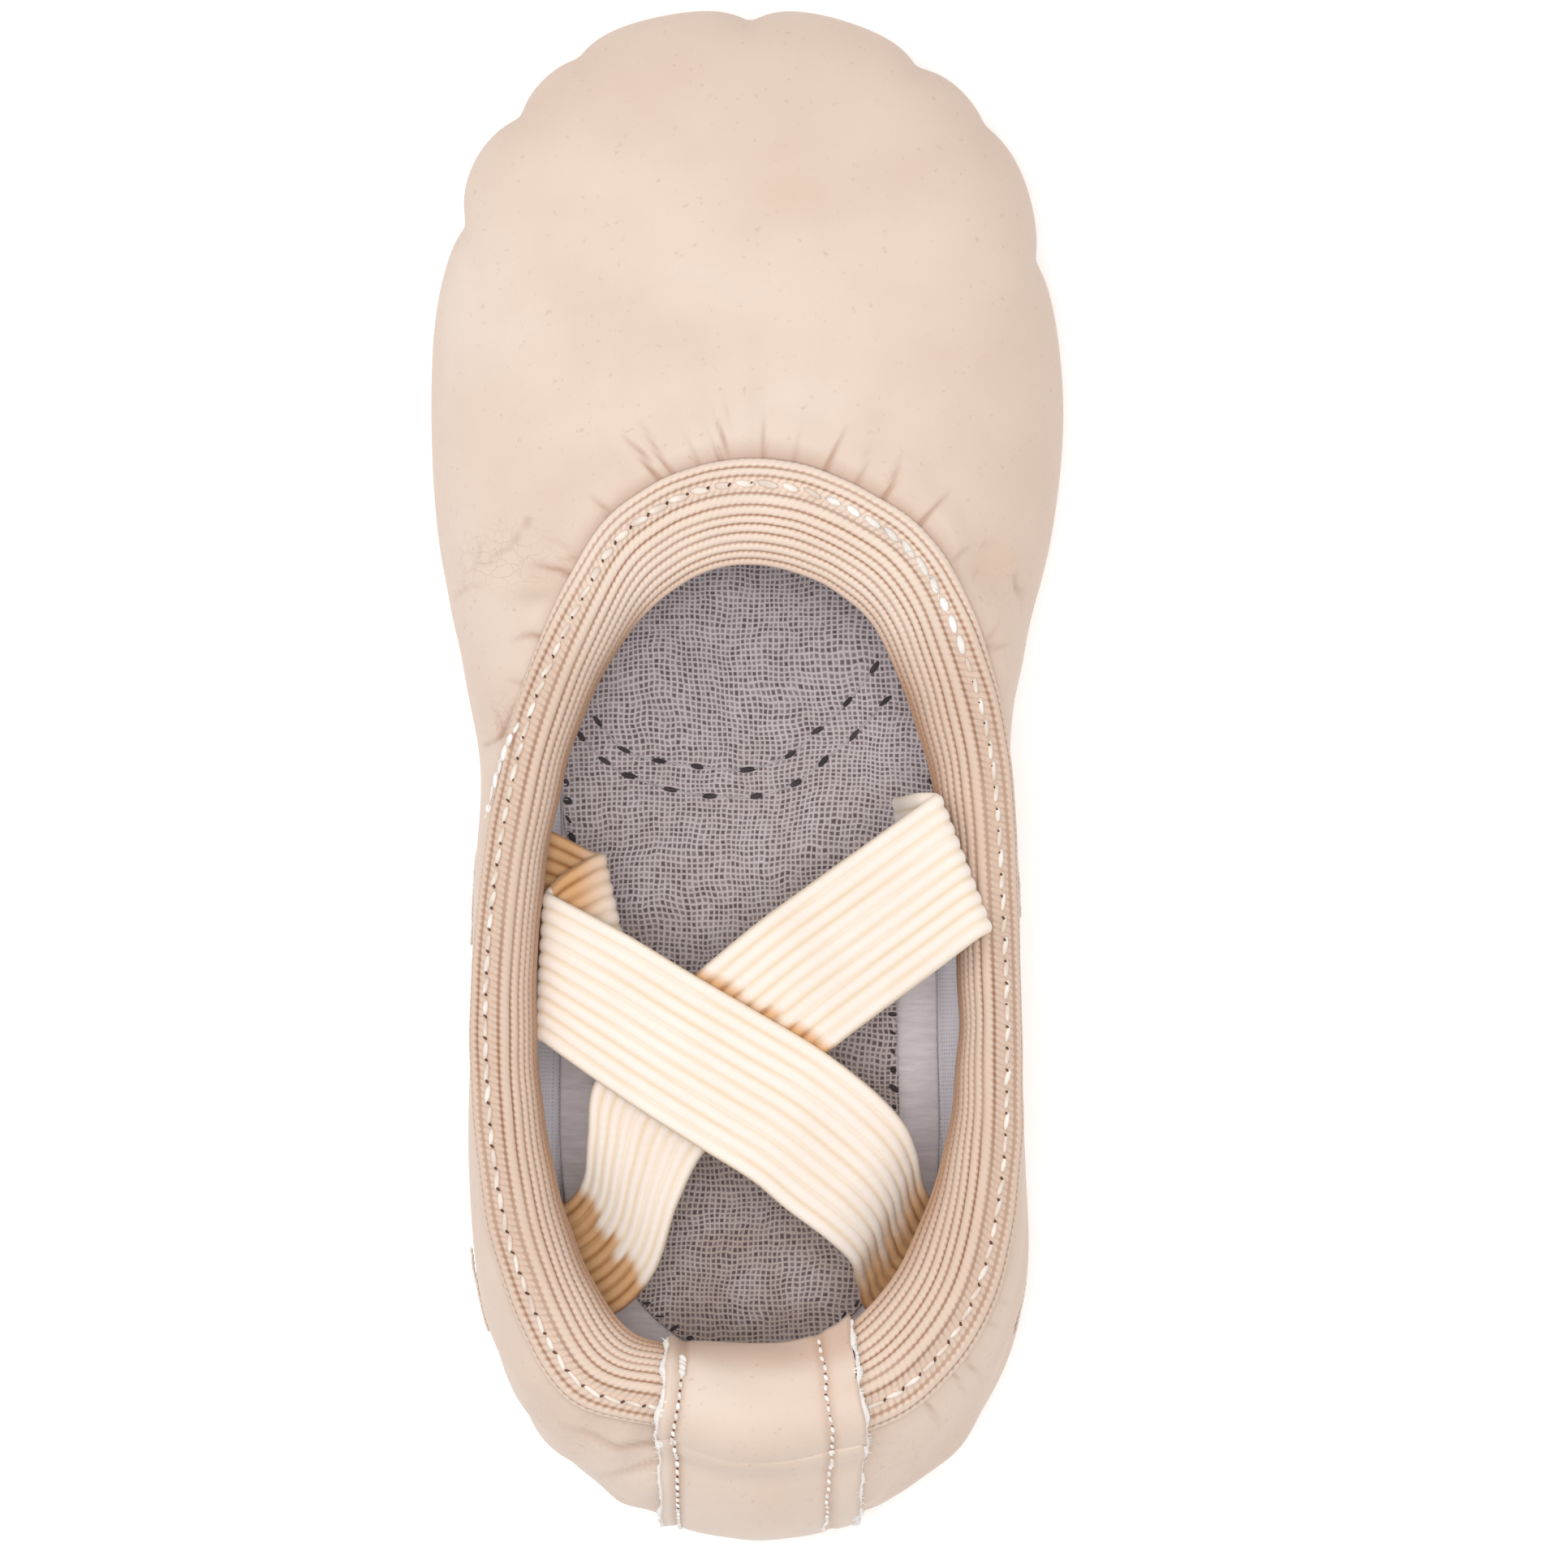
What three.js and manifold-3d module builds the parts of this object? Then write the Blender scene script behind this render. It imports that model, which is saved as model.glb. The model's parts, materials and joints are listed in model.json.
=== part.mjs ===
// A child's split-sole ballet slipper: a pleated leather upper, a rolled elastic collar,
// two crossed instep straps and suede pads under the ball and the heel.
// Millimetres.  Toe towards +Y, left side -X, and the floor at z = 0.
import * as THREE from 'three';
import { mergeVertices } from 'three/addons/utils/BufferGeometryUtils.js';
import Module from 'manifold-3d';

const wasm = await Module();
wasm.setup();

// ---- Overall sizes
const LENGTH = 165;           // heel to toe, over the leather
const WIDTH = 68.2;           // across the ball of the foot
const THROAT_HEIGHT = 34;     // leather's top edge over the instep
const SIDE_HEIGHT = 35.5;     // leather's top edge at the arch
const HEEL_HEIGHT = 39;       // leather's top edge at the back
const BELLY_HEIGHT = 12;      // where the wall stands out furthest

// ---- Materials' own thicknesses
const LEATHER = 1.0;
const LINING = 0.5;
const HEEL_LINING = 0.5;
const ELASTIC = 1.1;
const STRAP = 0.9;
const STRIP = 0.8;            // heel strip leather
const PAD = 1.6;              // suede pads
const CUSHION = 1.0;
const UNDERLAY = 0.6;
const SOCK = 0.5;
const TAPE = 0.5;             // arch seam tape
const THREAD = 0.5;
const FIT = 0.3;              // air between pieces that lie on each other

// ---- Widths and reaches
const MARGIN = 15;            // leather turned under the foot
const FLAT_INSET = 9;         // the leather lies flat this far in from its outline
const SEAM_SLIT = 0.7;        // between the two leather edges at the arch and the heel
const COLLAR_WIDTH = 11;      // elastic, flat
const COLLAR_SEAM = 2.5;      // collar's edge to its stitch row
const STITCH_GROOVE = 1.4;    // width of the dent that a stitch row pulls in
const STITCH_SINK = 0.7;      // its depth in the collar
const STRAP_WIDTH = 15.75;
const STRIP_LEFT = -8.8;      // heel strip's raw edges
const STRIP_RIGHT = 12;
const PAD_SEAM = 1.6;         // pad's edge to its first stitch row
const PAD_SEAM_PITCH = 2.9;   // first row to second row
const PAD_GROOVE = 0.9;       // depth of the row's groove in the pad
const TAPE_WIDTH = 8;
const PLEAT_WIDTH = 4.5;      // degrees round the toe

// ---- Grading: the outlines below are drawn on a 165 x 68.2 mm last
const ALONG = LENGTH / 165;
const ACROSS = WIDTH / 68.2;
const BELOW = PAD + FIT;                      // underside of the turned-in leather
const INSIDE = LEATHER + FIT + LINING;        // depth of the lining's inner face
const FLAT_ROW = 0.3;                         // row of the skin where the flat part ends
const RADIANS = Math.PI / 180;
const { lerp, clamp, smoothstep } = THREE.MathUtils;

// Stations from the back of the heel along the left side to the toe and back on the right:
// furthest reach of the wall (x, y), then the leather's top edge (x, y).
const STATIONS = [
  [1.5, -81.3, 1.6, -71.0],
  [-12.5, -78.7, -8.8, -68.5],
  [-22.5, -70.6, -18.6, -65.2],
  [-28.2, -57.5, -24.8, -52.6],
  [-29.8, -42.5, -27.2, -40.8],
  [-29.6, -27.5, -28.3, -27.0],
  [-29.1, -13.0, -27.4, -13.0],
  [-28.5, 0.0, -25.0, 0.0],
  [-30.6, 11.5, -22.2, 10.0],
  [-33.3, 25.5, -18.8, 19.5],
  [-34.1, 39.5, -15.0, 26.6],
  [-33.0, 53.5, -10.0, 30.6],
  [-28.6, 67.5, -5.5, 32.5],
  [-17.2, 79.1, -2.2, 33.2],
  [0.0, 82.95, 0.6, 33.4],
  [16.8, 79.1, 3.6, 33.2],
  [28.2, 67.5, 7.6, 32.3],
  [32.5, 53.5, 13.0, 29.8],
  [34.1, 40.0, 18.4, 26.0],
  [32.7, 25.5, 22.4, 20.0],
  [29.3, 11.5, 25.2, 10.5],
  [28.1, 0.0, 27.1, 0.0],
  [29.0, -13.0, 28.0, -13.0],
  [29.3, -27.5, 28.4, -28.0],
  [29.8, -42.5, 28.2, -43.0],
  [29.4, -57.0, 25.6, -56.0],
  [24.2, -70.5, 19.8, -64.9],
  [14.6, -78.7, 12.3, -69.2],
];
const TOE_CENTRE = [0, 41.3];                 // the pleats radiate from here
const TOE_PLEATS = [                          // direction in degrees from +X, and depth
  [24, 0.8], [48, 0.7], [62, 1.2], [89.5, 1.5], [117, 0.9], [130, 1.2], [150, 1.3],
];
const FOREFOOT_PAD = [                        // its rear end is a wide, shallow U
  [-4.0, -4.1], [-13.5, -1.8], [-19.4, 3.0], [-23.2, 12.0], [-24.5, 27.0], [-24.3, 42.0],
  [-20.0, 57.5], [-11.0, 67.0], [0.0, 70.0], [11.0, 67.0], [20.0, 57.5], [24.3, 42.0],
  [23.0, 27.0], [19.4, 12.5], [13.2, 3.0], [6.0, -2.6],
];
const HEEL_PAD = [
  [0.5, -33.5], [-10.5, -36.0], [-17.8, -44.0], [-19.6, -56.0], [-15.8, -68.0],
  [-7.0, -75.2], [1.5, -76.6], [9.6, -75.2], [17.6, -68.0], [20.4, -56.0],
  [18.6, -44.0], [11.5, -36.0],
];
const UNDERLAY_OUTLINE = [
  [0.5, -68.0], [-9.5, -65.0], [-17.0, -57.0], [-20.0, -44.0], [-20.2, -28.0], [-20.0, -12.0],
  [-20.6, 2.0], [-23.6, 16.0], [-26.0, 30.0], [-26.2, 44.0], [-22.4, 58.0], [-12.0, 68.5],
  [0.0, 71.5], [12.0, 68.5], [22.4, 58.0], [26.2, 44.0], [26.0, 30.0], [23.4, 16.0],
  [20.8, 2.0], [20.4, -12.0], [20.6, -28.0], [20.6, -44.0], [18.0, -57.0], [10.5, -65.0],
];
const SOCK_INSET = 4.3;                       // underlay that shows beside the sock
// The turned-in leather closes to a seam between these, over the two pads' inner ends.
const ARCH_START = [-46, -38];
const ARCH_END = [2, 10];

// Strap stations between its two sewn ends: centre x, y, drop below SIDE_HEIGHT, and the
// bearing of its width in degrees, turned from the heel direction towards +X.
const OVER_STRAP = [
  [-24.6, -13.6, 8.9, -1], [-21.2, -13.8, 8.9, 1], [-14.9, -16.0, 8.6, 12],
  [-13.9, -16.3, 7.5, 12], [-14.9, -16.8, 6.4, 12], [-18.2, -19.0, 5.1, 3],
  [-20.0, -20.6, 3.9, -3], [-19.4, -21.2, 2.4, -4], [-14.8, -24.8, 0.8, -13],
  [-8.5, -28.8, -0.3, -18], [-1.9, -32.8, -0.7, -23], [4.3, -36.6, -0.4, -28],
  [9.2, -40.6, 0.8, -32], [13.0, -44.6, 2.6, -34], [15.6, -48.4, 5.6, -35],
  [17.6, -51.6, 8.6, -34],
];
const UNDER_STRAP = [
  [24.4, -10.8, 8.9, 2], [20.8, -10.6, 8.7, 7], [17.9, -10.4, 7.8, 8], [17.1, -10.4, 6.2, 8],
  [17.5, -10.4, 3.4, 8], [18.4, -10.2, -0.8, 9], [20.3, -9.8, -3.7, 14],
  [22.9, -9.6, -5.2, 21], [21.8, -10.4, -6.5, 19], [16.8, -14.1, -4.7, 22],
  [10.8, -18.5, -1.9, 25], [5.1, -22.8, 0.7, 29], [-0.8, -27.8, 1.7, 31],
  [-6.0, -32.2, 2.2, 38], [-9.9, -36.6, 2.9, 50], [-11.9, -41.2, 4.2, 60],
  [-13.6, -46.0, 6.0, 60], [-16.0, -50.6, 8.2, 46], [-19.4, -54.4, 10.4, 30],
];
// Sewn ends: side of the shoe, toe and heel edges along the foot, the end's top and bottom,
// and what lies between it and the leather.  A flat end needs room in the round heel wall.
const HEEL_ROOM = 0.9;
const BEHIND_REAR_ENDS = INSIDE + FIT + HEEL_LINING + HEEL_ROOM;
const ENDS = {
  frontLeft: { side: -1, toe: -6.0, heel: -21.0, top: 25.3, bottom: 18.5, depth: INSIDE },
  frontRight: { side: 1, toe: -3.0, heel: -18.0, top: 25.3, bottom: 18.5, depth: INSIDE },
  rearLeft: { side: -1, toe: -48.5, heel: -62.5, top: 23.5, bottom: 17, depth: BEHIND_REAR_ENDS },
  rearRight: { side: 1, toe: -48.8, heel: -62.8, top: 24.5, bottom: 18, depth: BEHIND_REAR_ENDS },
};

// ---- Curves of the shoe

function closedCurve(points) {
  const graded = points.map(([x, y]) => new THREE.Vector3(x * ACROSS, y * ALONG, 0));
  return new THREE.CatmullRomCurve3(graded, true, 'catmullrom');
}

const outline = closedCurve(STATIONS.map(([x, y]) => [x, y]));
const mouth = closedCurve(STATIONS.map(([, , x, y]) => [x, y]));

function wrap(u) {
  return u - Math.floor(u);
}

// Plan direction into the shoe, square to a curve that runs heel, left, toe, right.
function inwardAt(curve, u) {
  const tangent = curve.getTangent(wrap(u));
  return new THREE.Vector3(tangent.y, -tangent.x, 0).normalize();
}

function rimHeight(y) {
  const throat = smoothstep(y, -10 * ALONG, 25 * ALONG);
  const heel = smoothstep(-y, 20 * ALONG, 72 * ALONG);
  return lerp(lerp(SIDE_HEIGHT, HEEL_HEIGHT, heel), THROAT_HEIGHT, throat);
}

function bezier(t, points) {
  const s = 1 - t;
  const weights = [s * s * s, 3 * s * s * t, 3 * s * t * t, t * t * t];
  return points.reduce((sum, p, i) => sum.addScaledVector(p, weights[i]), new THREE.Vector3());
}

// Everything that the skin needs at one place round the shoe.
function stationAt(u) {
  const belly = outline.getPoint(wrap(u)).setZ(BELLY_HEIGHT);
  const rim = mouth.getPoint(wrap(u));
  rim.z = rimHeight(rim.y);
  const spread = new THREE.Vector2(belly.x - rim.x, belly.y - rim.y).length();
  const flatness = clamp((spread - 2) / 28, 0, 1);    // 1 over the instep, 0 at the arch
  return { belly, rim, spread, flatness, into: inwardAt(outline, u), over: inwardAt(mouth, u) };
}

// The turned-in edge: MARGIN wide, but at the arch it runs in to the middle seam.
function marginEdge({ belly, into }) {
  const edge = belly.clone().addScaledVector(into, MARGIN).setZ(BELOW);
  const side = into.x > 0 ? -1 : 1;
  const arch = smoothstep(belly.y, ARCH_START[0] * ALONG, ARCH_START[1] * ALONG)
    * (1 - smoothstep(belly.y, ARCH_END[0] * ALONG, ARCH_END[1] * ALONG));
  edge.lerp(new THREE.Vector3(side * SEAM_SLIT / 2, belly.y, BELOW), arch);
  return edge;
}

// Flat under the foot up to FLAT_ROW, then the turn up to the belly line.
function undersidePoint(u, row) {
  const station = stationAt(u);
  const { belly, into } = station;
  const flat = belly.clone().addScaledVector(into, FLAT_INSET).setZ(BELOW);
  if (row < FLAT_ROW) return marginEdge(station).lerp(flat, row / FLAT_ROW);
  const sole = belly.clone().addScaledVector(into, 3).setZ(BELOW);
  const turn = belly.clone().setZ(lerp(BELLY_HEIGHT, BELOW, 0.65));
  return bezier((row - FLAT_ROW) / (1 - FLAT_ROW), [flat, sole, turn, belly]);
}

function rimSlope(flatness) {
  return lerp(38, 12, flatness) * RADIANS;
}

function wallPoint(u, t) {
  const { belly, rim, spread, flatness, over } = stationAt(u);
  const outward = belly.clone().sub(rim).setZ(0).addScaledVector(over, -4).normalize();
  const reach = 0.85 * spread + 0.5;
  const slope = rimSlope(flatness);
  const shoulder = rim.clone().addScaledVector(outward, reach);
  shoulder.z -= Math.tan(slope) * reach;
  const rise = belly.clone().setZ(lerp(BELLY_HEIGHT, rim.z, lerp(0.62, 0.5, flatness)));
  return bezier(t, [belly, rise, shoulder, rim]);
}

// The collar's centre line: it leaves the leather at rimSlope and rolls into the mouth.
function collarPoint(u, distance) {
  const { rim, flatness, over } = stationAt(u);
  const steps = 12;
  const start = rimSlope(flatness);
  const end = lerp(-90, -28, flatness) * RADIANS;
  const roll = lerp(6.2, COLLAR_WIDTH, flatness);
  const point = rim.clone();
  for (let i = 0; i < steps; i += 1) {
    const along = distance * (i + 0.5) / steps;
    const angle = lerp(start, end, clamp(along / roll, 0, 1));
    point.addScaledVector(over, Math.cos(angle) * distance / steps);
    point.z += Math.sin(angle) * distance / steps;
  }
  return point;
}

// The outer face of the leather.  Row 0 is its turned-under edge, row 1 the belly line,
// row 2 its visible top edge, and rows 2 to 3 cross the collar.
function skinPoint(u, row) {
  if (row <= 1) return undersidePoint(u, row);
  if (row <= 2) return wallPoint(u, row - 1);
  return collarPoint(u, (row - 2) * COLLAR_WIDTH);
}

function skinNormal(u, row) {
  const du = 0.002;
  const low = Math.max(row - 0.02, 0);
  const alongU = skinPoint(u + du, row).sub(skinPoint(u - du, row));
  const alongRow = skinPoint(u, row + 0.02).sub(skinPoint(u, low));
  return alongRow.cross(alongU).normalize();
}

// Depth of the toe pleats: deepest at the belly line, fading up the wall and under the sole.
function pleatDepth(u, row) {
  const { belly } = stationAt(u);
  const x = belly.x / ACROSS - TOE_CENTRE[0];
  const y = belly.y / ALONG - TOE_CENTRE[1];
  const direction = Math.atan2(y, x) / RADIANS;
  const fade = smoothstep(row, 0.3, 0.75) * (1 - smoothstep(row, 1.1, 1.6));
  const depth = TOE_PLEATS.reduce((sum, [angle, deep]) => {
    return sum + deep * Math.exp(-(((direction - angle) / PLEAT_WIDTH) ** 2));
  }, 0);
  return depth * fade;
}

// A point at a height over the outer face; negative is inside the shoe.
function skin(u, row, height) {
  return skinPoint(u, row).addScaledVector(skinNormal(u, row), height - pleatDepth(u, row));
}

// ---- Solids

// Joins two grids of points, outer and inner, into one closed sheet of material.
function sheetGeometry(outer, inner, closed) {
  const across = outer[0].length;
  const positions = [...outer, ...inner].flat().flatMap((p) => [p.x, p.y, p.z]);
  const index = [];
  const at = (layer, i, j) => (layer * outer.length + (i % outer.length)) * across + j;
  const quad = (a, b, c, d) => index.push(a, b, c, a, c, d);
  const lines = closed ? outer.length : outer.length - 1;
  for (let i = 0; i < lines; i += 1) {
    for (let j = 0; j < across - 1; j += 1) {
      quad(at(0, i, j), at(0, i, j + 1), at(0, i + 1, j + 1), at(0, i + 1, j));
      quad(at(1, i, j), at(1, i + 1, j), at(1, i + 1, j + 1), at(1, i, j + 1));
    }
    quad(at(0, i, 0), at(0, i + 1, 0), at(1, i + 1, 0), at(1, i, 0));
    const last = across - 1;
    quad(at(0, i, last), at(1, i, last), at(1, i + 1, last), at(0, i + 1, last));
  }
  if (!closed) {
    const end = outer.length - 1;
    for (let j = 0; j < across - 1; j += 1) {
      quad(at(0, 0, j), at(1, 0, j), at(1, 0, j + 1), at(0, 0, j + 1));
      quad(at(0, end, j), at(0, end, j + 1), at(1, end, j + 1), at(1, end, j));
    }
  }
  const geometry = new THREE.BufferGeometry();
  geometry.setAttribute('position', new THREE.Float32BufferAttribute(positions, 3));
  geometry.setIndex(index);
  return geometry;
}

// Places round the shoe, closer together where the toe pleats are.
function columns(from, to) {
  const stations = STATIONS.length;
  const places = [];
  for (let i = 0; i < stations; i += 1) {
    const pleated = i >= 10 && i < 18;
    const steps = pleated ? 4 : 2;
    for (let k = 0; k < steps; k += 1) places.push((i + k / steps) / stations);
  }
  if (from === undefined) return places;
  const within = places.map((u) => (u > 0.5 ? u - 1 : u)).sort((a, b) => a - b);
  return [from, ...within.filter((u) => u > from + 0.004 && u < to - 0.004), to];
}

// A layer of the skin: heights are [inner, outer] for each row.
function layer(places, rows, heights, closed) {
  const grid = (face) => places.map((u) => rows.map((row, j) => skin(u, row, heights(row, j)[face])));
  return sheetGeometry(grid(1), grid(0), closed);
}

// Lines across the collar: its outer edge, the stitch groove, and the roll to its inner edge.
const GROOVE = [COLLAR_SEAM - STITCH_GROOVE / 2, COLLAR_SEAM + STITCH_GROOVE / 2];
const GROOVE_SIDE = 0.2;
const ROLL = COLLAR_WIDTH - GROOVE[1] - GROOVE_SIDE;
const COLLAR_LINES = [0, GROOVE[0] - GROOVE_SIDE, ...GROOVE,
  ...[0, 0.25, 0.5, 0.75, 1].map((share) => GROOVE[1] + GROOVE_SIDE + share * ROLL)];
const COLLAR_ROWS = COLLAR_LINES.map((distance) => 2 + distance / COLLAR_WIDTH);
const COLLAR_TOP = FIT + ELASTIC;

function upperLeather() {
  const half = SEAM_SLIT / 2 / outline.getLength();
  const places = columns().slice(1);
  const rows = [0, FLAT_ROW, 0.5, 0.68, 0.84, 1, 1.2, 1.4, 1.6, 1.8, 2, COLLAR_ROWS[1], COLLAR_ROWS[3]];
  return layer([half, ...places, 1 - half], rows, () => [-LEATHER, 0], false);
}

function upperLining() {
  const rows = [0.27, FLAT_ROW, 0.5, 0.68, 0.84, 1, 1.4, 1.8, 2, COLLAR_ROWS[1]];
  return layer(columns(), rows, () => [-INSIDE, -LEATHER - FIT], true);
}

function heelLining() {
  const rows = [0.68, 0.84, 1, 1.4, 1.8, 1.95];
  const depth = INSIDE + FIT;
  const places = columns(-3.9 / STATIONS.length, 3.9 / STATIONS.length);
  return layer(places, rows, () => [-depth - HEEL_LINING, -depth], false);
}

function collarElastic() {
  const inGroove = (line) => GROOVE.includes(COLLAR_LINES[line]);
  const top = (line) => (inGroove(line) ? COLLAR_TOP - STITCH_SINK : COLLAR_TOP);
  return layer(columns(), COLLAR_ROWS, (row, line) => [FIT, top(line)], true);
}

function collarStitching() {
  const bottom = COLLAR_TOP - STITCH_SINK + FIT;
  const rows = [-0.3, 0.3].map((side) => 2 + (COLLAR_SEAM + side) / COLLAR_WIDTH);
  return layer(columns(), rows, () => [bottom, bottom + THREAD], true);
}

// The place round the heel where a row of the skin has the given x.
function placeAtX(x, row) {
  let low = -0.09;
  let high = 0.09;
  for (let i = 0; i < 30; i += 1) {
    const middle = (low + high) / 2;
    if (skinPoint(middle, row).x > x) low = middle;
    else high = middle;
  }
  return (low + high) / 2;
}

// The heel strip climbs from the leather over the collar.
function stripHeight(row) {
  return lerp(FIT, COLLAR_TOP + 2 * FIT, smoothstep(row, 1.86, 1.95));
}

function stripLayer(edges, heights) {
  const rows = [0.72, 0.86, 1, 1.2, 1.4, 1.6, 1.75, 1.86, 1.95, ...COLLAR_ROWS];
  const grid = (face) => edges.map((x) => rows.map((row) => {
    return skin(placeAtX(x * ACROSS, row), row, heights(row)[face]);
  }));
  return sheetGeometry(grid(0), grid(1), false);
}

function heelStrip() {
  const steps = 6;
  const edges = Array.from({ length: steps + 1 }, (_, i) => lerp(STRIP_LEFT, STRIP_RIGHT, i / steps));
  return stripLayer(edges, (row) => [stripHeight(row), stripHeight(row) + STRIP]);
}

function heelStripStitch(x) {
  const bottom = STRIP + FIT;
  const edges = [x - THREAD / 2, x + THREAD / 2];
  return stripLayer(edges, (row) => [stripHeight(row) + bottom, stripHeight(row) + bottom + THREAD]);
}

// ---- Straps

// The place on one side of the shoe where the wall has the given y and height.
function placeOnSide(side, y, z) {
  const span = side < 0 ? [0.02, 0.48] : [0.98, 0.52];
  let [low, high] = span;
  let row = 1.5;
  for (let pass = 0; pass < 4; pass += 1) {
    [low, high] = span;
    for (let i = 0; i < 24; i += 1) {
      const middle = (low + high) / 2;
      if (skinPoint(middle, row).y < y) low = middle;
      else high = middle;
    }
    let [bottom, top] = [1, 2];
    for (let i = 0; i < 24; i += 1) {
      row = (bottom + top) / 2;
      if (skinPoint(low, row).z < z) bottom = row;
      else top = row;
    }
  }
  return [low, row];
}

// Both edges of a sewn end at one height, toe edge first.
function sewnEdges({ side, toe, heel, depth }, z) {
  return [toe, heel].map((y) => {
    const [u, row] = placeOnSide(side, y * ALONG, z);
    return skin(u, row, -depth - FIT - STRAP / 2);
  });
}

function freeEdges([x, y, drop, bearing]) {
  const across = new THREE.Vector3(Math.sin(bearing * RADIANS), -Math.cos(bearing * RADIANS), 0);
  const centre = new THREE.Vector3(x * ACROSS, y * ALONG, SIDE_HEIGHT - drop);
  return [-0.5, 0.5].map((side) => centre.clone().addScaledVector(across, side * STRAP_WIDTH));
}

function strap(first, stations, last) {
  const pairs = [
    ...[first.bottom, first.top].map((z) => sewnEdges(first, z)),
    ...stations.map(freeEdges),
    ...[last.top, last.bottom].map((z) => sewnEdges(last, z)),
  ];
  const edges = [0, 1].map((side) => {
    return new THREE.CatmullRomCurve3(pairs.map((pair) => pair[side]), false, 'catmullrom');
  });
  const steps = (pairs.length - 1) * 2;
  const outer = [];
  const inner = [];
  for (let i = 0; i <= steps; i += 1) {
    const [toe, heel] = edges.map((edge) => edge.getPoint(i / steps));
    const run = edges[0].getTangent(i / steps).add(edges[1].getTangent(i / steps));
    const up = run.cross(heel.clone().sub(toe)).normalize().multiplyScalar(STRAP / 2);
    outer.push([toe.clone().sub(up), heel.clone().sub(up)]);
    inner.push([toe.clone().add(up), heel.clone().add(up)]);
  }
  return sheetGeometry(outer, inner, false);
}

// A bar of thread on the outside of the leather, over a strap's sewn end.
function strapTack({ side, toe, heel, top, bottom }) {
  const middle = (top + bottom) / 2 + 2;
  const inset = 2.5;
  const ends = [toe - inset, heel + inset];
  const steps = 4;
  const places = Array.from({ length: steps + 1 }, (_, i) => {
    return placeOnSide(side, lerp(ends[0], ends[1], i / steps) * ALONG, middle);
  });
  const grid = (height) => places.map(([u, row]) => [-0.02, 0.02].map((shift) => skin(u, row + shift, height)));
  const [outer, inner] = [grid(FIT + THREAD), grid(FIT)];
  return side < 0 ? sheetGeometry(outer.reverse(), inner.reverse(), false) : sheetGeometry(outer, inner, false);
}

// ---- Flat pieces under and inside the foot

function loopPoints(points, divisions) {
  return closedCurve(points).getPoints(divisions).slice(0, -1);
}

// Moves every point of a clockwise or anticlockwise loop towards its inside.
function insetLoop(loop, distance) {
  const area = THREE.ShapeUtils.area(loop);
  const turn = Math.sign(area);
  return loop.map((point, i) => {
    const before = loop[(i + loop.length - 1) % loop.length];
    const after = loop[(i + 1) % loop.length];
    const along = after.clone().sub(before).normalize();
    return new THREE.Vector3(point.x - turn * along.y * distance, point.y + turn * along.x * distance, 0);
  });
}

function plate(loop, bottom, thickness, hole) {
  const flat = (points) => points.map(({ x, y }) => new THREE.Vector2(x, y));
  const shape = new THREE.Shape(flat(loop));
  if (hole) shape.holes.push(new THREE.Path(flat(hole).reverse()));
  const geometry = new THREE.ExtrudeGeometry(shape, { depth: thickness, bevelEnabled: false, steps: 1 });
  return geometry.translate(0, 0, bottom);
}

function ring(loop, inset, width, bottom, thickness) {
  return plate(insetLoop(loop, inset - width / 2), bottom, thickness, insetLoop(loop, inset + width / 2));
}

function toSolid(geometry) {
  const bare = new THREE.BufferGeometry();
  bare.setAttribute('position', geometry.getAttribute('position'));
  if (geometry.index) bare.setIndex(geometry.index);
  const merged = mergeVertices(bare);
  return new wasm.Manifold(new wasm.Mesh({
    numProp: 3,
    vertProperties: new Float32Array(merged.getAttribute('position').array),
    triVerts: new Uint32Array(merged.index.array),
  }));
}

function toGeometry(solid) {
  const mesh = solid.getMesh();
  const geometry = new THREE.BufferGeometry();
  geometry.setAttribute('position', new THREE.Float32BufferAttribute(mesh.vertProperties, 3));
  geometry.setIndex(new THREE.Uint32BufferAttribute(mesh.triVerts, 1));
  return geometry;
}

const forefootLoop = loopPoints(FOREFOOT_PAD, 38);
const heelLoop = loopPoints(HEEL_PAD, 30);
const underlayLoop = loopPoints(UNDERLAY_OUTLINE, 44);
const GROOVE_WIDTH = THREAD + 2 * FIT;
const FOREFOOT_CUSHION_INSET = 3.8;
const HEEL_CUSHION_INSET = 6.6;              // the heel pad reaches further out than the flat
const INNER_FLOOR = BELOW + LEATHER + FIT;    // on the turned-in leather
const UNDERLAY_BOTTOM = INNER_FLOOR + CUSHION + FIT;
const SOCK_BOTTOM = UNDERLAY_BOTTOM + UNDERLAY + FIT;

function suedePad(loop, seams) {
  return toGeometry(seams.reduce((pad, inset) => {
    return pad.subtract(toSolid(ring(loop, inset, GROOVE_WIDTH, -1, PAD_GROOVE + 1)));
  }, toSolid(plate(loop, 0, PAD))));
}

function padStitch(loop, inset) {
  return ring(loop, inset, THREAD, PAD_GROOVE - FIT - THREAD, THREAD);
}

function cushion(loop, inset) {
  return plate(insetLoop(loop, inset), INNER_FLOOR, CUSHION);
}

function archSeamTape() {
  const [front, back] = [-6 * ALONG, -31 * ALONG];
  const half = TAPE_WIDTH / 2;
  const corners = [[-half, back], [half, back], [half, front], [-half, front]];
  return plate(corners.map(([x, y]) => new THREE.Vector3(x, y, 0)), INNER_FLOOR, TAPE);
}

// ---- The slipper

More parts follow.
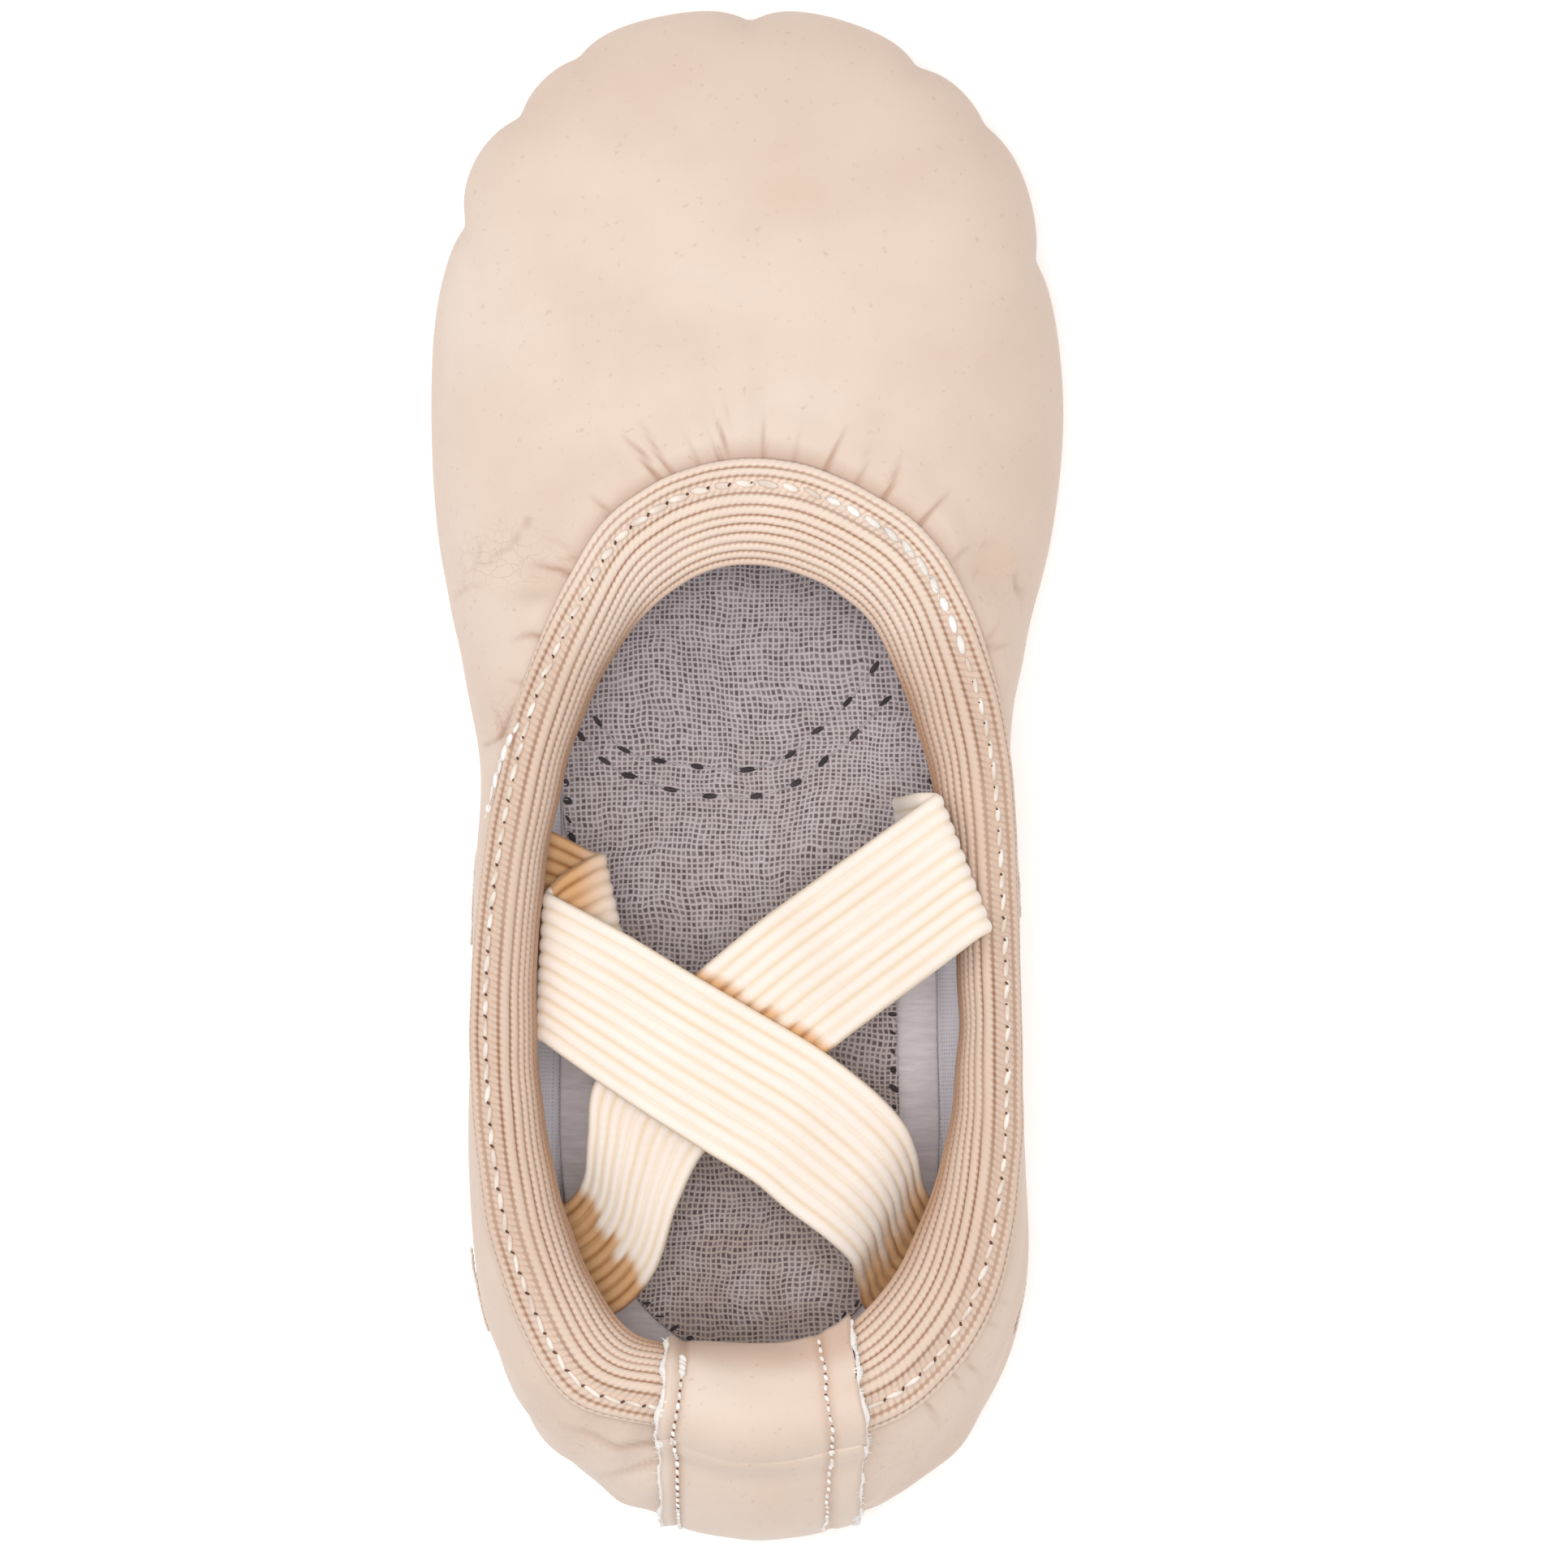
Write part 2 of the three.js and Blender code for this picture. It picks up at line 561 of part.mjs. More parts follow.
const CREAM = 0xf3e2d2;
const FINISHES = {
  leather: { color: CREAM, roughness: 0.62, metalness: 0 },
  lining: { color: 0xe1d8e2, roughness: 0.92, metalness: 0 },
  heelLining: { color: 0xd8bda6, roughness: 0.92, metalness: 0 },
  collar: { color: 0xdcbfa6, roughness: 0.85, metalness: 0 },
  strap: { color: 0xfbecdf, roughness: 0.82, metalness: 0 },
  thread: { color: 0xf4efe9, roughness: 0.7, metalness: 0 },
  darkThread: { color: 0x4a4440, roughness: 0.8, metalness: 0 },
  suede: { color: 0xc9a78c, roughness: 0.95, metalness: 0 },
  foam: { color: 0xe8e0d0, roughness: 0.95, metalness: 0 },
  underlay: { color: 0xbcaca7, roughness: 0.95, metalness: 0 },
  gauze: { color: 0x9d8e91, roughness: 0.95, metalness: 0 },
};

const slipper = new THREE.Group();

function add(name, geometry, finish) {
  const mesh = new THREE.Mesh(geometry, new THREE.MeshStandardMaterial(FINISHES[finish]));
  mesh.name = name;
  slipper.add(mesh);
}

add('upper_leather', upperLeather(), 'leather');
add('upper_lining', upperLining(), 'lining');
add('heel_lining', heelLining(), 'heelLining');
add('collar_elastic', collarElastic(), 'collar');
add('collar_stitching', collarStitching(), 'thread');
add('heel_strip', heelStrip(), 'leather');
add('heel_strip_stitch_left', heelStripStitch(STRIP_LEFT + 1.4), 'thread');
add('heel_strip_stitch_right', heelStripStitch(STRIP_RIGHT - 3.5), 'thread');
add('strap_over', strap(ENDS.frontLeft, OVER_STRAP, ENDS.rearRight), 'strap');
add('strap_under', strap(ENDS.frontRight, UNDER_STRAP, ENDS.rearLeft), 'strap');
add('strap_tack_front_left', strapTack(ENDS.frontLeft), 'thread');
add('strap_tack_front_right', strapTack(ENDS.frontRight), 'thread');
add('strap_tack_rear_left', strapTack(ENDS.rearLeft), 'thread');
add('strap_tack_rear_right', strapTack(ENDS.rearRight), 'thread');
add('forefoot_pad', suedePad(forefootLoop, [PAD_SEAM, PAD_SEAM + PAD_SEAM_PITCH]), 'suede');
add('heel_pad', suedePad(heelLoop, [PAD_SEAM]), 'suede');
add('forefoot_pad_stitch_outer', padStitch(forefootLoop, PAD_SEAM), 'thread');
add('forefoot_pad_stitch_inner', padStitch(forefootLoop, PAD_SEAM + PAD_SEAM_PITCH), 'thread');
add('heel_pad_stitch', padStitch(heelLoop, PAD_SEAM), 'thread');
add('forefoot_cushion', cushion(forefootLoop, FOREFOOT_CUSHION_INSET), 'foam');
add('heel_cushion', cushion(heelLoop, HEEL_CUSHION_INSET), 'foam');
add('arch_seam_tape', archSeamTape(), 'underlay');
add('insole_underlay', plate(underlayLoop, UNDERLAY_BOTTOM, UNDERLAY), 'underlay');
add('insole_sock', plate(insetLoop(underlayLoop, SOCK_INSET), SOCK_BOTTOM, SOCK), 'gauze');
add('sock_stitching', ring(underlayLoop, SOCK_INSET + 1.2, THREAD, SOCK_BOTTOM + SOCK + FIT, THREAD), 'darkThread');

export default slipper;
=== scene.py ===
"""A child's split-sole ballet slipper: leather upper, rolled elastic collar, crossed straps.

The toe points towards +Y, the left side is -X and the floor is z = 0.  Sizes in the classes are
millimetres; a mesh gets its metres when its vertices are placed.
"""

import json
import logging
import math
from dataclasses import dataclass, field
from enum import Enum
from functools import lru_cache, partial
from typing import Any, Callable, Iterable, Mapping, Sequence

import bmesh
import bpy
import numpy as np
from mathutils import Matrix, Vector


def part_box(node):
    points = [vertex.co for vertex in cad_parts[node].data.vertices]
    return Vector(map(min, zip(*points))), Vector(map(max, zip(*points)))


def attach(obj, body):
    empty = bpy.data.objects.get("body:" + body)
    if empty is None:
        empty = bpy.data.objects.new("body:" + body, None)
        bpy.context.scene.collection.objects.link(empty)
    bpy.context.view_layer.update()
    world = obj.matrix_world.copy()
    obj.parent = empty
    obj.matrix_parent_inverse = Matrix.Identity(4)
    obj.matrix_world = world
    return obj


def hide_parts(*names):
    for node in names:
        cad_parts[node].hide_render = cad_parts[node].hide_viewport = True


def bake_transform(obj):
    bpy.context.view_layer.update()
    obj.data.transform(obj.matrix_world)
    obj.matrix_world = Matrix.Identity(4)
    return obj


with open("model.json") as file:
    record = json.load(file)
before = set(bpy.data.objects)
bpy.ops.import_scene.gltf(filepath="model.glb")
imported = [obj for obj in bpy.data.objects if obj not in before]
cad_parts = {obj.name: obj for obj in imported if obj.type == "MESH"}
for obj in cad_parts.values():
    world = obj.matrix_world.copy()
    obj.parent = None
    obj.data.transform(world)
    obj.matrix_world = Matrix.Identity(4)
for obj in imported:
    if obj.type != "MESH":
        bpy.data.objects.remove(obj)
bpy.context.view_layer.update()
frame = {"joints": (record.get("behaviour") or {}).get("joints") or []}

LOG = logging.getLogger("slipper")
MM = 0.001
Array = np.ndarray
Source = bpy.types.Node | bpy.types.NodeSocket
Piece = bpy.types.Object


class Body(Enum):
    """The moving bodies of the slipper."""

    REAR = "rear"
    FOREFOOT = "forefoot"
    OVER = "strap_over"
    UNDER = "strap_under"


class Slot(Enum):
    """The record's material slots."""

    LEATHER = "leather"
    LINING = "lining"
    HEEL_LINING = "heel_lining"
    COLLAR = "collar_elastic"
    STRAP = "strap_elastic"
    THREAD = "thread"
    DARK_THREAD = "dark_thread"
    SUEDE = "suede"
    FOAM = "foam"
    UNDERLAY = "underlay"
    GAUZE = "gauze"


class Side(Enum):
    """Left or right side of the shoe, as the sign of its x."""

    LEFT = -1
    RIGHT = 1


# ---- Small maths on arrays


def smoothstep(value: Array, low: float, high: float) -> Array:
    """Rises smoothly from 0 at low to 1 at high."""
    t = np.clip((np.asarray(value, float) - low) / (high - low), 0.0, 1.0)
    return t * t * (3.0 - 2.0 * t)


def lerp(a: Any, b: Any, t: Any) -> Any:
    """Goes from a at t = 0 to b at t = 1."""
    return a + (b - a) * t


def unit(vectors: Array) -> Array:
    """Scales vectors to length 1 along the last axis."""
    return vectors / np.maximum(np.linalg.norm(vectors, axis=-1, keepdims=True), 1e-9)


def bell(value: Array, width: float) -> Array:
    """A bell curve of height 1, that falls to a third at width."""
    return np.exp(-((value / width) ** 2))


def spline(points: Array, t: Array, closed: bool) -> tuple[Array, Array]:
    """Evaluates a Catmull-Rom curve.

    Args:
        points: The curve's points, one per row.
        t: Places on the curve, from 0 to 1.
        closed: Whether the curve runs back to its first point.

    Returns:
        The points and the slopes at those places.
    """
    count = len(points)
    spans = count if closed else count - 1
    place = (np.asarray(t, float) % 1.0 if closed else np.clip(t, 0.0, 1.0)) * spans
    first = np.minimum(np.floor(place).astype(int), spans - 1)
    w = (place - first)[..., None]
    if closed:
        a, b, c, d = (points[(first + k) % count] for k in (-1, 0, 1, 2))
    else:
        longer = np.vstack([2 * points[0] - points[1], points, 2 * points[-1] - points[-2]])
        a, b, c, d = (longer[first + k] for k in (0, 1, 2, 3))
    leave, arrive = 0.5 * (c - a), 0.5 * (d - b)
    square = -3 * b + 3 * c - 2 * leave - arrive
    cube = 2 * b - 2 * c + leave + arrive
    return b + w * (leave + w * (square + w * cube)), leave + w * (2 * square + 3 * w * cube)


def ripples(x: Array, y: Array, pitch: float, seed: int) -> Array:
    """Smooth waves with no direction, about -1 to 1.

    Args:
        x: Places in millimetres.
        y: Places in millimetres.
        pitch: Typical wavelength in millimetres.
        seed: Picks the waves.

    Returns:
        The wave height at each place.
    """
    draw = np.random.default_rng(seed)
    total = np.zeros_like(x, dtype=float)
    for _ in range(7):
        angle, phase = draw.uniform(0, 2 * math.pi, 2)
        rate = 2 * math.pi / (pitch * draw.uniform(0.7, 1.5))
        total += np.sin((x * math.cos(angle) + y * math.sin(angle)) * rate + phase)
    return total / 3.0


# ---- The last: the form that every layer of the slipper follows

# From the back of the heel along the left side to the toe and back on the right: furthest reach
# of the wall (x, y), then the leather's top edge (x, y), then the collar's inner edge (x, y).
STATIONS = np.array([
    [1.5, -81.3, 1.6, -71.0, 1.3, -62.3], [-12.5, -78.7, -8.8, -68.5, -6.1, -61.9],
    [-22.5, -70.6, -18.8, -65.4, -13.0, -59.4], [-28.2, -57.5, -25.0, -53.0, -18.0, -51.5],
    [-29.8, -42.5, -27.4, -41.2, -21.2, -40.8], [-29.6, -27.5, -28.1, -27.0, -22.7, -27.5],
    [-29.1, -13.0, -27.2, -13.0, -22.2, -14.0], [-28.5, 0.0, -25.0, 0.0, -19.9, -1.0],
    [-30.6, 11.5, -22.2, 10.0, -17.0, 7.6], [-33.3, 25.5, -18.8, 19.5, -13.4, 14.3],
    [-34.1, 39.5, -15.0, 26.6, -9.9, 18.1], [-33.0, 53.5, -10.0, 30.6, -6.7, 20.4],
    [-28.6, 67.5, -5.5, 32.5, -4.0, 21.6], [-17.2, 79.1, -2.2, 33.2, -1.8, 22.1],
    [0.0, 82.95, 0.6, 33.4, 0.2, 22.2], [16.8, 79.1, 3.6, 33.2, 2.4, 22.0],
    [28.2, 67.5, 7.6, 32.3, 5.3, 21.3], [32.5, 53.5, 13.0, 29.8, 8.9, 19.8],
    [34.1, 40.0, 18.4, 26.0, 12.2, 17.4], [32.7, 25.5, 22.4, 20.0, 15.1, 13.5],
    [29.3, 11.5, 25.2, 10.5, 17.7, 7.2], [28.1, 0.0, 27.1, 0.0, 20.1, -1.0],
    [29.0, -13.0, 27.6, -13.0, 22.1, -12.8], [29.3, -27.5, 28.0, -28.0, 22.9, -27.5],
    [29.8, -42.5, 27.9, -43.0, 21.2, -41.2], [29.4, -57.0, 25.6, -56.0, 16.9, -52.0],
    [24.2, -70.5, 19.8, -64.9, 12.1, -58.0], [14.6, -78.7, 12.3, -69.2, 7.0, -61.2],
])
GRADED_WIDTH, GRADED_LENGTH = 68.2, 164.15
TOE_CENTRE = (0.0, 41.3)
# Notches of the toe: direction in degrees from +X, and depth.
TOE_PLEATS = ((24, 0.8), (48, 0.7), (62, 1.2), (89.5, 1.5), (117, 0.9), (130, 1.2), (150, 1.3))


@dataclass(frozen=True)
class Station:
    """What the skin needs at places round the shoe."""

    belly: Array
    rim: Array
    spread: Array
    flatness: Array
    into: Array
    over: Array
    reach: Array
    curl: Array


@dataclass(frozen=True)
class Last:
    """The slipper's form.  Row 0 is the turned-under edge, 1 the belly line, 2 the leather's top
    edge, and rows 2 to 3 cross the collar."""

    along: float
    across: float
    margin: float = 15.0
    flat_inset: float = 9.0
    collar_width: float = 11.0
    band_thick: float = 1.5
    belly_height: float = 12.0
    below: float = 1.9
    flat_row: float = 0.3
    slit: float = 0.7
    side_height: float = 35.5
    heel_height: float = 39.0
    throat_height: float = 34.0

    @classmethod
    def from_frame(cls) -> "Last":
        """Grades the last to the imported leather's own width and length."""
        low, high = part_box("upper_leather")
        size = (high - low) / MM
        return cls(along=size.y / GRADED_LENGTH, across=size.x / GRADED_WIDTH)

    def rim_height(self, y: Array) -> Array:
        """Height of the leather's top edge."""
        throat = smoothstep(y, -10 * self.along, 25 * self.along)
        heel = smoothstep(-y, 20 * self.along, 72 * self.along)
        return lerp(lerp(self.side_height, self.heel_height, heel), self.throat_height, throat)

    def station(self, u: Array) -> Station:
        """Evaluates the three guide curves.

        Args:
            u: Places round the shoe, from 0 at the heel to 1.

        Returns:
            What the skin needs there.
        """
        grade = np.array([self.across, self.along])
        belly, run = spline(STATIONS[:, :2] * grade, u, True)
        rim, _ = spline(STATIONS[:, 2:4] * grade, u, True)
        mouth, _ = spline(STATIONS[:, 4:] * grade, u, True)
        spread = np.linalg.norm(belly - rim, axis=-1)
        flat = np.zeros_like(belly[..., :1])
        into = unit(np.concatenate([run[..., 1:], -run[..., :1], flat], -1))
        over = unit(np.concatenate([mouth - rim, flat], -1))
        reach = np.linalg.norm(mouth - rim, axis=-1)
        curl = np.clip((reach - 4.5) / 6.9, 0, 1) ** 1.4
        reach = reach - lerp(self.band_thick, 0.5 * self.band_thick, curl)
        belly = np.concatenate([belly, flat + self.belly_height], -1)
        rim = np.concatenate([rim, self.rim_height(rim[..., 1:2])], -1)
        flatness = np.clip((spread - 2) / 28, 0, 1)
        return Station(belly, rim, spread, flatness, into, over, reach, curl)

    @staticmethod
    def _bezier(t: Array, points: Sequence[Array]) -> Array:
        """A cubic curve.

        Args:
            t: Places on it, from 0 to 1.
            points: Its four control points.

        Returns:
            The points at those places.
        """
        t = t[..., None]
        s = 1 - t
        a, b, c, d = points
        return s * s * s * a + 3 * s * s * t * b + 3 * s * t * t * c + t * t * t * d

    def _at_height(self, points: Array, z: Array | float) -> Array:
        """The same points at another height."""
        moved = points.copy()
        moved[..., 2] = z
        return moved

    def underside(self, place: Station, row: Array) -> Array:
        """The leather under the foot and up to the belly line.

        Args:
            place: The stations.
            row: Rows from 0 to 1.

        Returns:
            Points in millimetres.
        """
        belly, into = place.belly, place.into
        edge = self._at_height(belly + into * self.margin, self.below)
        y = belly[..., 1]
        arch = smoothstep(y, -46 * self.along, -38 * self.along)
        arch = arch * (1 - smoothstep(y, 2 * self.along, 10 * self.along))
        seam = np.stack([np.where(into[..., 0] > 0, -0.5, 0.5) * self.slit, y,
                         np.full_like(y, self.below)], -1)
        edge = lerp(edge, seam, arch[..., None])
        flat = self._at_height(belly + into * self.flat_inset, self.below)
        sole = self._at_height(belly + into * 3, self.below)
        turn = self._at_height(belly, lerp(self.belly_height, self.below, 0.65))
        lying = lerp(edge, flat, np.clip(row / self.flat_row, 0, 1)[..., None])
        t = np.clip((row - self.flat_row) / (1 - self.flat_row), 0, 1)
        rising = self._bezier(t, (flat, sole, turn, belly))
        return np.where((row < self.flat_row)[..., None], lying, rising)

    @staticmethod
    def slope(flatness: Array) -> Array:
        """The angle at which the leather reaches its top edge."""
        return np.radians(lerp(38.0, 12.0, flatness))

    def wall(self, place: Station, t: Array) -> Array:
        """The leather from the belly line to its top edge.

        Args:
            place: The stations.
            t: The way up, from 0 to 1.

        Returns:
            Points in millimetres.
        """
        belly, rim = place.belly, place.rim
        outward = belly - rim - 4 * place.over
        outward[..., 2] = 0
        reach = 0.85 * place.spread + 0.5
        shoulder = rim + unit(outward) * reach[..., None]
        shoulder[..., 2] -= np.tan(self.slope(place.flatness)) * reach
        lift = lerp(0.62, 0.5, place.flatness)
        rise = self._at_height(belly, lerp(self.belly_height, rim[..., 2], lift))
        return self._bezier(t, (belly, rise, shoulder, rim))

    def _roll(self, place: Station, distance: Array) -> tuple[Array, Array]:
        """How far the collar has gone from the leather's edge.

        Args:
            place: The stations.
            distance: Distance along the collar.

        Returns:
            The way inwards and the way upwards.
        """
        start = np.radians(lerp(38.0, 12.0, place.curl))
        end = np.radians(lerp(-88.0, -28.0, place.curl))
        upright = np.radians(42.0) * (1 - smoothstep(place.rim[..., 1] / self.along, 6.0, 24.0))
        bend = lerp(10.0, self.collar_width, place.curl)
        inwards, upwards = np.zeros_like(distance), np.zeros_like(distance)
        steps = 12
        for i in range(steps):
            gone = distance * (i + 0.5) / steps
            angle = lerp(start, end, np.clip(gone / bend, 0, 1))
            angle = angle + upright * (1 - smoothstep(gone, 0.5, 3.8))
            inwards = inwards + np.cos(angle) * distance / steps
            upwards = upwards + np.sin(angle) * distance / steps
        return inwards, upwards

    def collar(self, place: Station, distance: Array) -> Array:
        """The collar's line: it leaves the leather and rolls to its inner edge in the mouth.

        Args:
            place: The stations.
            distance: Distance along the collar.

        Returns:
            Points in millimetres.
        """
        inwards, upwards = self._roll(place, distance)
        whole, _ = self._roll(place, np.full_like(distance, self.collar_width))
        point = place.rim + place.over * (inwards * place.reach / whole)[..., None]
        point[..., 2] += upwards
        return point

    def point(self, u: Array, row: Array) -> Array:
        """The outer face of the leather, and the collar's underside past row 2.

        Args:
            u: Places round the shoe.
            row: Rows.

        Returns:
            Points in millimetres.
        """
        u, row = np.broadcast_arrays(np.asarray(u, float), np.asarray(row, float))
        place = self.station(u)
        low = self.underside(place, np.minimum(row, 1))
        wall = self.wall(place, np.clip(row - 1, 0, 1))
        roll = self.collar(place, np.maximum(row - 2, 0) * self.collar_width)
        row = row[..., None]
        return np.where(row <= 1, low, np.where(row <= 2, wall, roll))

    def normal(self, u: Array, row: Array) -> Array:
        """The outward normal of point().

        Args:
            u: Places round the shoe.
            row: Rows.

        Returns:
            Unit vectors.
        """
        u, row = np.broadcast_arrays(np.asarray(u, float), np.asarray(row, float))
        step = 0.002
        around = self.point(u + step, row) - self.point(u - step, row)
        up = self.point(u, row + 0.02) - self.point(u, np.maximum(row - 0.02, 0))
        return unit(np.cross(up, around))

    def pleats(self, u: Array, row: Array) -> Array:
        """Depth of the toe's folds: sharp notches at the belly line, small tucks below it.

        Args:
            u: Places round the shoe.
            row: Rows.

        Returns:
            Depths in millimetres.
        """
        belly = self.station(u).belly
        x = belly[..., 0] / self.across - TOE_CENTRE[0]
        y = belly[..., 1] / self.along - TOE_CENTRE[1]
        bearing = np.degrees(np.arctan2(y, x))
        soft, width = 0.7, 3.6
        depth = np.zeros_like(x)
        for angle, deep in TOE_PLEATS:
            away = np.sqrt((bearing - angle) ** 2 + soft ** 2) - soft
            depth += 1.15 * deep * np.exp(-away / width)
        fade = smoothstep(row, 0.3, 0.75) * (1 - smoothstep(row, 1.05, 1.45))
        pitch = 7.5
        tuck = 1 - np.abs(((bearing / pitch) % 1.0) * 2 - 1)
        toe = smoothstep(bearing, 8, 20) * (1 - smoothstep(bearing, 160, 172))
        under = smoothstep(row, 0.28, 0.5) * (1 - smoothstep(row, 0.7, 0.98)) * toe
        return depth * fade + 0.7 * tuck ** 4 * under

    def skin(self, u: Array, row: Array, height: Array) -> Array:
        """Points at a height over the outer face; a negative height is inside the shoe."""
        rise = np.asarray(height, float) - self.pleats(u, row)
        return self.point(u, row) + self.normal(u, row) * rise[..., None]

    def mouth_length(self) -> float:
        """Length of the leather's top edge."""
        points = self.station(np.linspace(0, 1, 1200)).rim
        return float(np.linalg.norm(np.diff(points, axis=0), axis=1).sum())

    def even_places(self, count: int, row: float, start: float = 0.0, stop: float = 1.0) -> Array:
        """Places round the shoe that lie evenly apart along one row.

        Args:
            count: How many places.
            row: The row they lie on.
            start: First place.
            stop: End of the last stretch.

        Returns:
            The places, without stop itself.
        """
        u = np.linspace(start, stop, 2400)
        points = self.point(u, np.full_like(u, row))
        run = np.concatenate([[0], np.cumsum(np.linalg.norm(np.diff(points, axis=0), axis=1))])
        return np.interp(np.arange(count) / count * run[-1], run, u)


# ---- Meshes


@dataclass
class Surface:
    """Where the vertices of a grid go, in millimetres, and what they carry."""

    points: Array
    weave: Array
    fields: Mapping[str, Array] = field(default_factory=dict)


def finished_object(name: str, bm: bmesh.types.BMesh) -> Piece:
    """Turns a bmesh into a smooth-shaded object and frees it.

    Args:
        name: The object's name.
        bm: The mesh.

    Returns:
        The object.
    """
    for face in bm.faces:
        face.smooth = True
    mesh = bpy.data.meshes.new(name)
    bm.to_mesh(mesh)
    bm.free()
    piece = bpy.data.objects.new(name, mesh)
    bpy.context.scene.collection.objects.link(piece)
    return piece


def grid_piece(name: str, around: int, across: int,
               shape: Callable[[Array, Array], Surface], weld: float = 2e-6) -> Piece:
    """Builds a closed piece from a bmesh grid whose vertices are moved to their places.

    Args:
        name: The piece's name.
        around: Faces along the grid's first direction.
        across: Faces along its second direction.
        shape: Gives the surface at grid lines (i, j).
        weld: Vertices closer than this, in metres, are merged.

    Returns:
        The object.
    """
    bm = bmesh.new()
    bmesh.ops.create_grid(bm, x_segments=around, y_segments=across, size=0.5)
    mesh = bpy.data.meshes.new(name)
    bm.to_mesh(mesh)
    bm.free()
    flat = np.empty(len(mesh.vertices) * 3)
    mesh.vertices.foreach_get("co", flat)
    flat = flat.reshape(-1, 3) + 0.5
    i, j = (np.rint(flat[:, k] * lines).astype(int) for k, lines in enumerate((around, across)))
    surface = shape(i, j)
    mesh.vertices.foreach_set("co", (surface.points * MM).ravel())
    corners = np.empty(len(mesh.loops), int)
    mesh.loops.foreach_get("vertex_index", corners)
    mesh.uv_layers.new(name="weave").data.foreach_set("uv", surface.weave[corners].ravel())
    for key, values in surface.fields.items():
        stored = mesh.attributes.new(key, "FLOAT", "POINT")
        stored.data.foreach_set("value", values.astype(np.float32))
    bm = bmesh.new()
    bm.from_mesh(mesh)
    bpy.data.meshes.remove(mesh)
    bmesh.ops.remove_doubles(bm, verts=bm.verts, dist=weld)
    bmesh.ops.dissolve_degenerate(bm, edges=bm.edges, dist=weld)
    open_edges = [edge for edge in bm.edges if edge.is_boundary]
    if open_edges:
        bmesh.ops.holes_fill(bm, edges=open_edges, sides=0)
    bmesh.ops.recalc_face_normals(bm, faces=bm.faces)
    return finished_object(name, bm)


@dataclass(frozen=True)
class Profile:
    """The closed cross-section of a layer: rows of the last, heights over it and way across."""

    rows: Array
    heights: Array
    across: Array
    outer: Array

    @classmethod
    def of_layer(cls, outer_rows: Array, outer_heights: Array, inner_rows: Array,
                 inner_heights: Array, width: float) -> "Profile":
        """Joins an outer and an inner face.

        Args:
            outer_rows: Rows of the outer face, first edge to last.
            outer_heights: Its heights.
            inner_rows: Rows of the inner face, last edge to first.
            inner_heights: Its heights.
            width: Millimetres from one row to the next.

        Returns:
            The cross-section.
        """
        rows = np.concatenate([outer_rows, inner_rows])
        heights = np.concatenate([outer_heights, inner_heights])
        across = (rows - rows.min()) * width
        outer = np.concatenate([np.ones(len(outer_rows)), np.zeros(len(inner_rows))])
        return cls(rows, heights, across, outer)


Relief = Callable[[Array, Array, Array, Array], tuple[Array, Mapping[str, Array]]]


def skin_piece(last: Last, name: str, places: Array, profile: Profile, closed: bool,
               relief: Relief | None = None) -> Piece:
    """Sweeps a cross-section round the last.

    Args:
        last: The form.
        name: The piece's name.
        places: Where the cross-sections stand, round the shoe.
        profile: The cross-section.
        closed: Whether the sweep closes on itself.
        relief: Gives extra height and fields at (u, row, outer, points).

    Returns:
        The object.
    """
    count = len(profile.rows)
    spans = len(places) if closed else len(places) - 1
    places = np.append(places, places[0] + 1) if closed else places
    middle = np.full_like(places, float(np.median(profile.rows)))
    steps = np.linalg.norm(np.diff(last.point(places, middle), axis=0), axis=1)
    run = np.concatenate([[0], np.cumsum(steps)])

    def shape(i: Array, j: Array) -> Surface:
        """Places the grid's vertices."""
        u, j = places[i], j % count
        row, height, outer = profile.rows[j], profile.heights[j], profile.outer[j]
        fields: Mapping[str, Array] = {}
        if relief is not None:
            more, fields = relief(u, row, outer, last.point(u, row))
            height = height + more
        return Surface(last.skin(u, row, height), np.stack([run[i], profile.across[j]], -1), fields)

    return grid_piece(name, spans, count, shape)


def settle(piece: Piece, finish: "Finish", body: Body | None = Body.REAR,
           bends: tuple[Body, Body, Vector, Vector] | None = None,
           stands_for: Sequence[str] = ()) -> Piece:
    """Dresses a piece, hides the CAD nodes it stands for, and ties it to its body; a piece that
    bends only has its transform baked, and its bend is logged.

    Args:
        piece: The object.
        finish: Its material.
        body: The body that it rides on, unless it bends.
        bends: The two bodies and the start and end of its bend.
        stands_for: CAD nodes that it replaces.

    Returns:
        The same object.
    """
    piece.data.materials.clear()
    piece.data.materials.append(material_of(finish))
    if stands_for:
        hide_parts(*stands_for)
    if bends is not None:
        first, second, start, end = bends
        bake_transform(piece)
        tied = f"bends {first.value} to {second.value}"
    else:
        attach(piece, body.value)
        tied = f"rides {body.value}"
    LOG.info("%s: %d faces, %s", piece.name, len(piece.data.polygons), tied)
    return piece


def flex() -> tuple[Body, Body, Vector, Vector]:
    """The bend of everything that crosses the ball of the foot, round the record's own joint.

    Returns:
        The two bodies, and where the bend starts and ends.
    """
    joint = next(j for j in frame["joints"] if j["name"] == "forefoot_flex")
    place = Vector(joint.get("pos_m") or joint.get("pos") or (0.0, 0.019, 0.002))
    reach = Vector((0.0, 0.021, 0.0))
    flat = Vector((0.0, place.y, 0.0))
    return Body.REAR, Body.FOREFOOT, flat - reach, flat + reach


# ---- Finishes


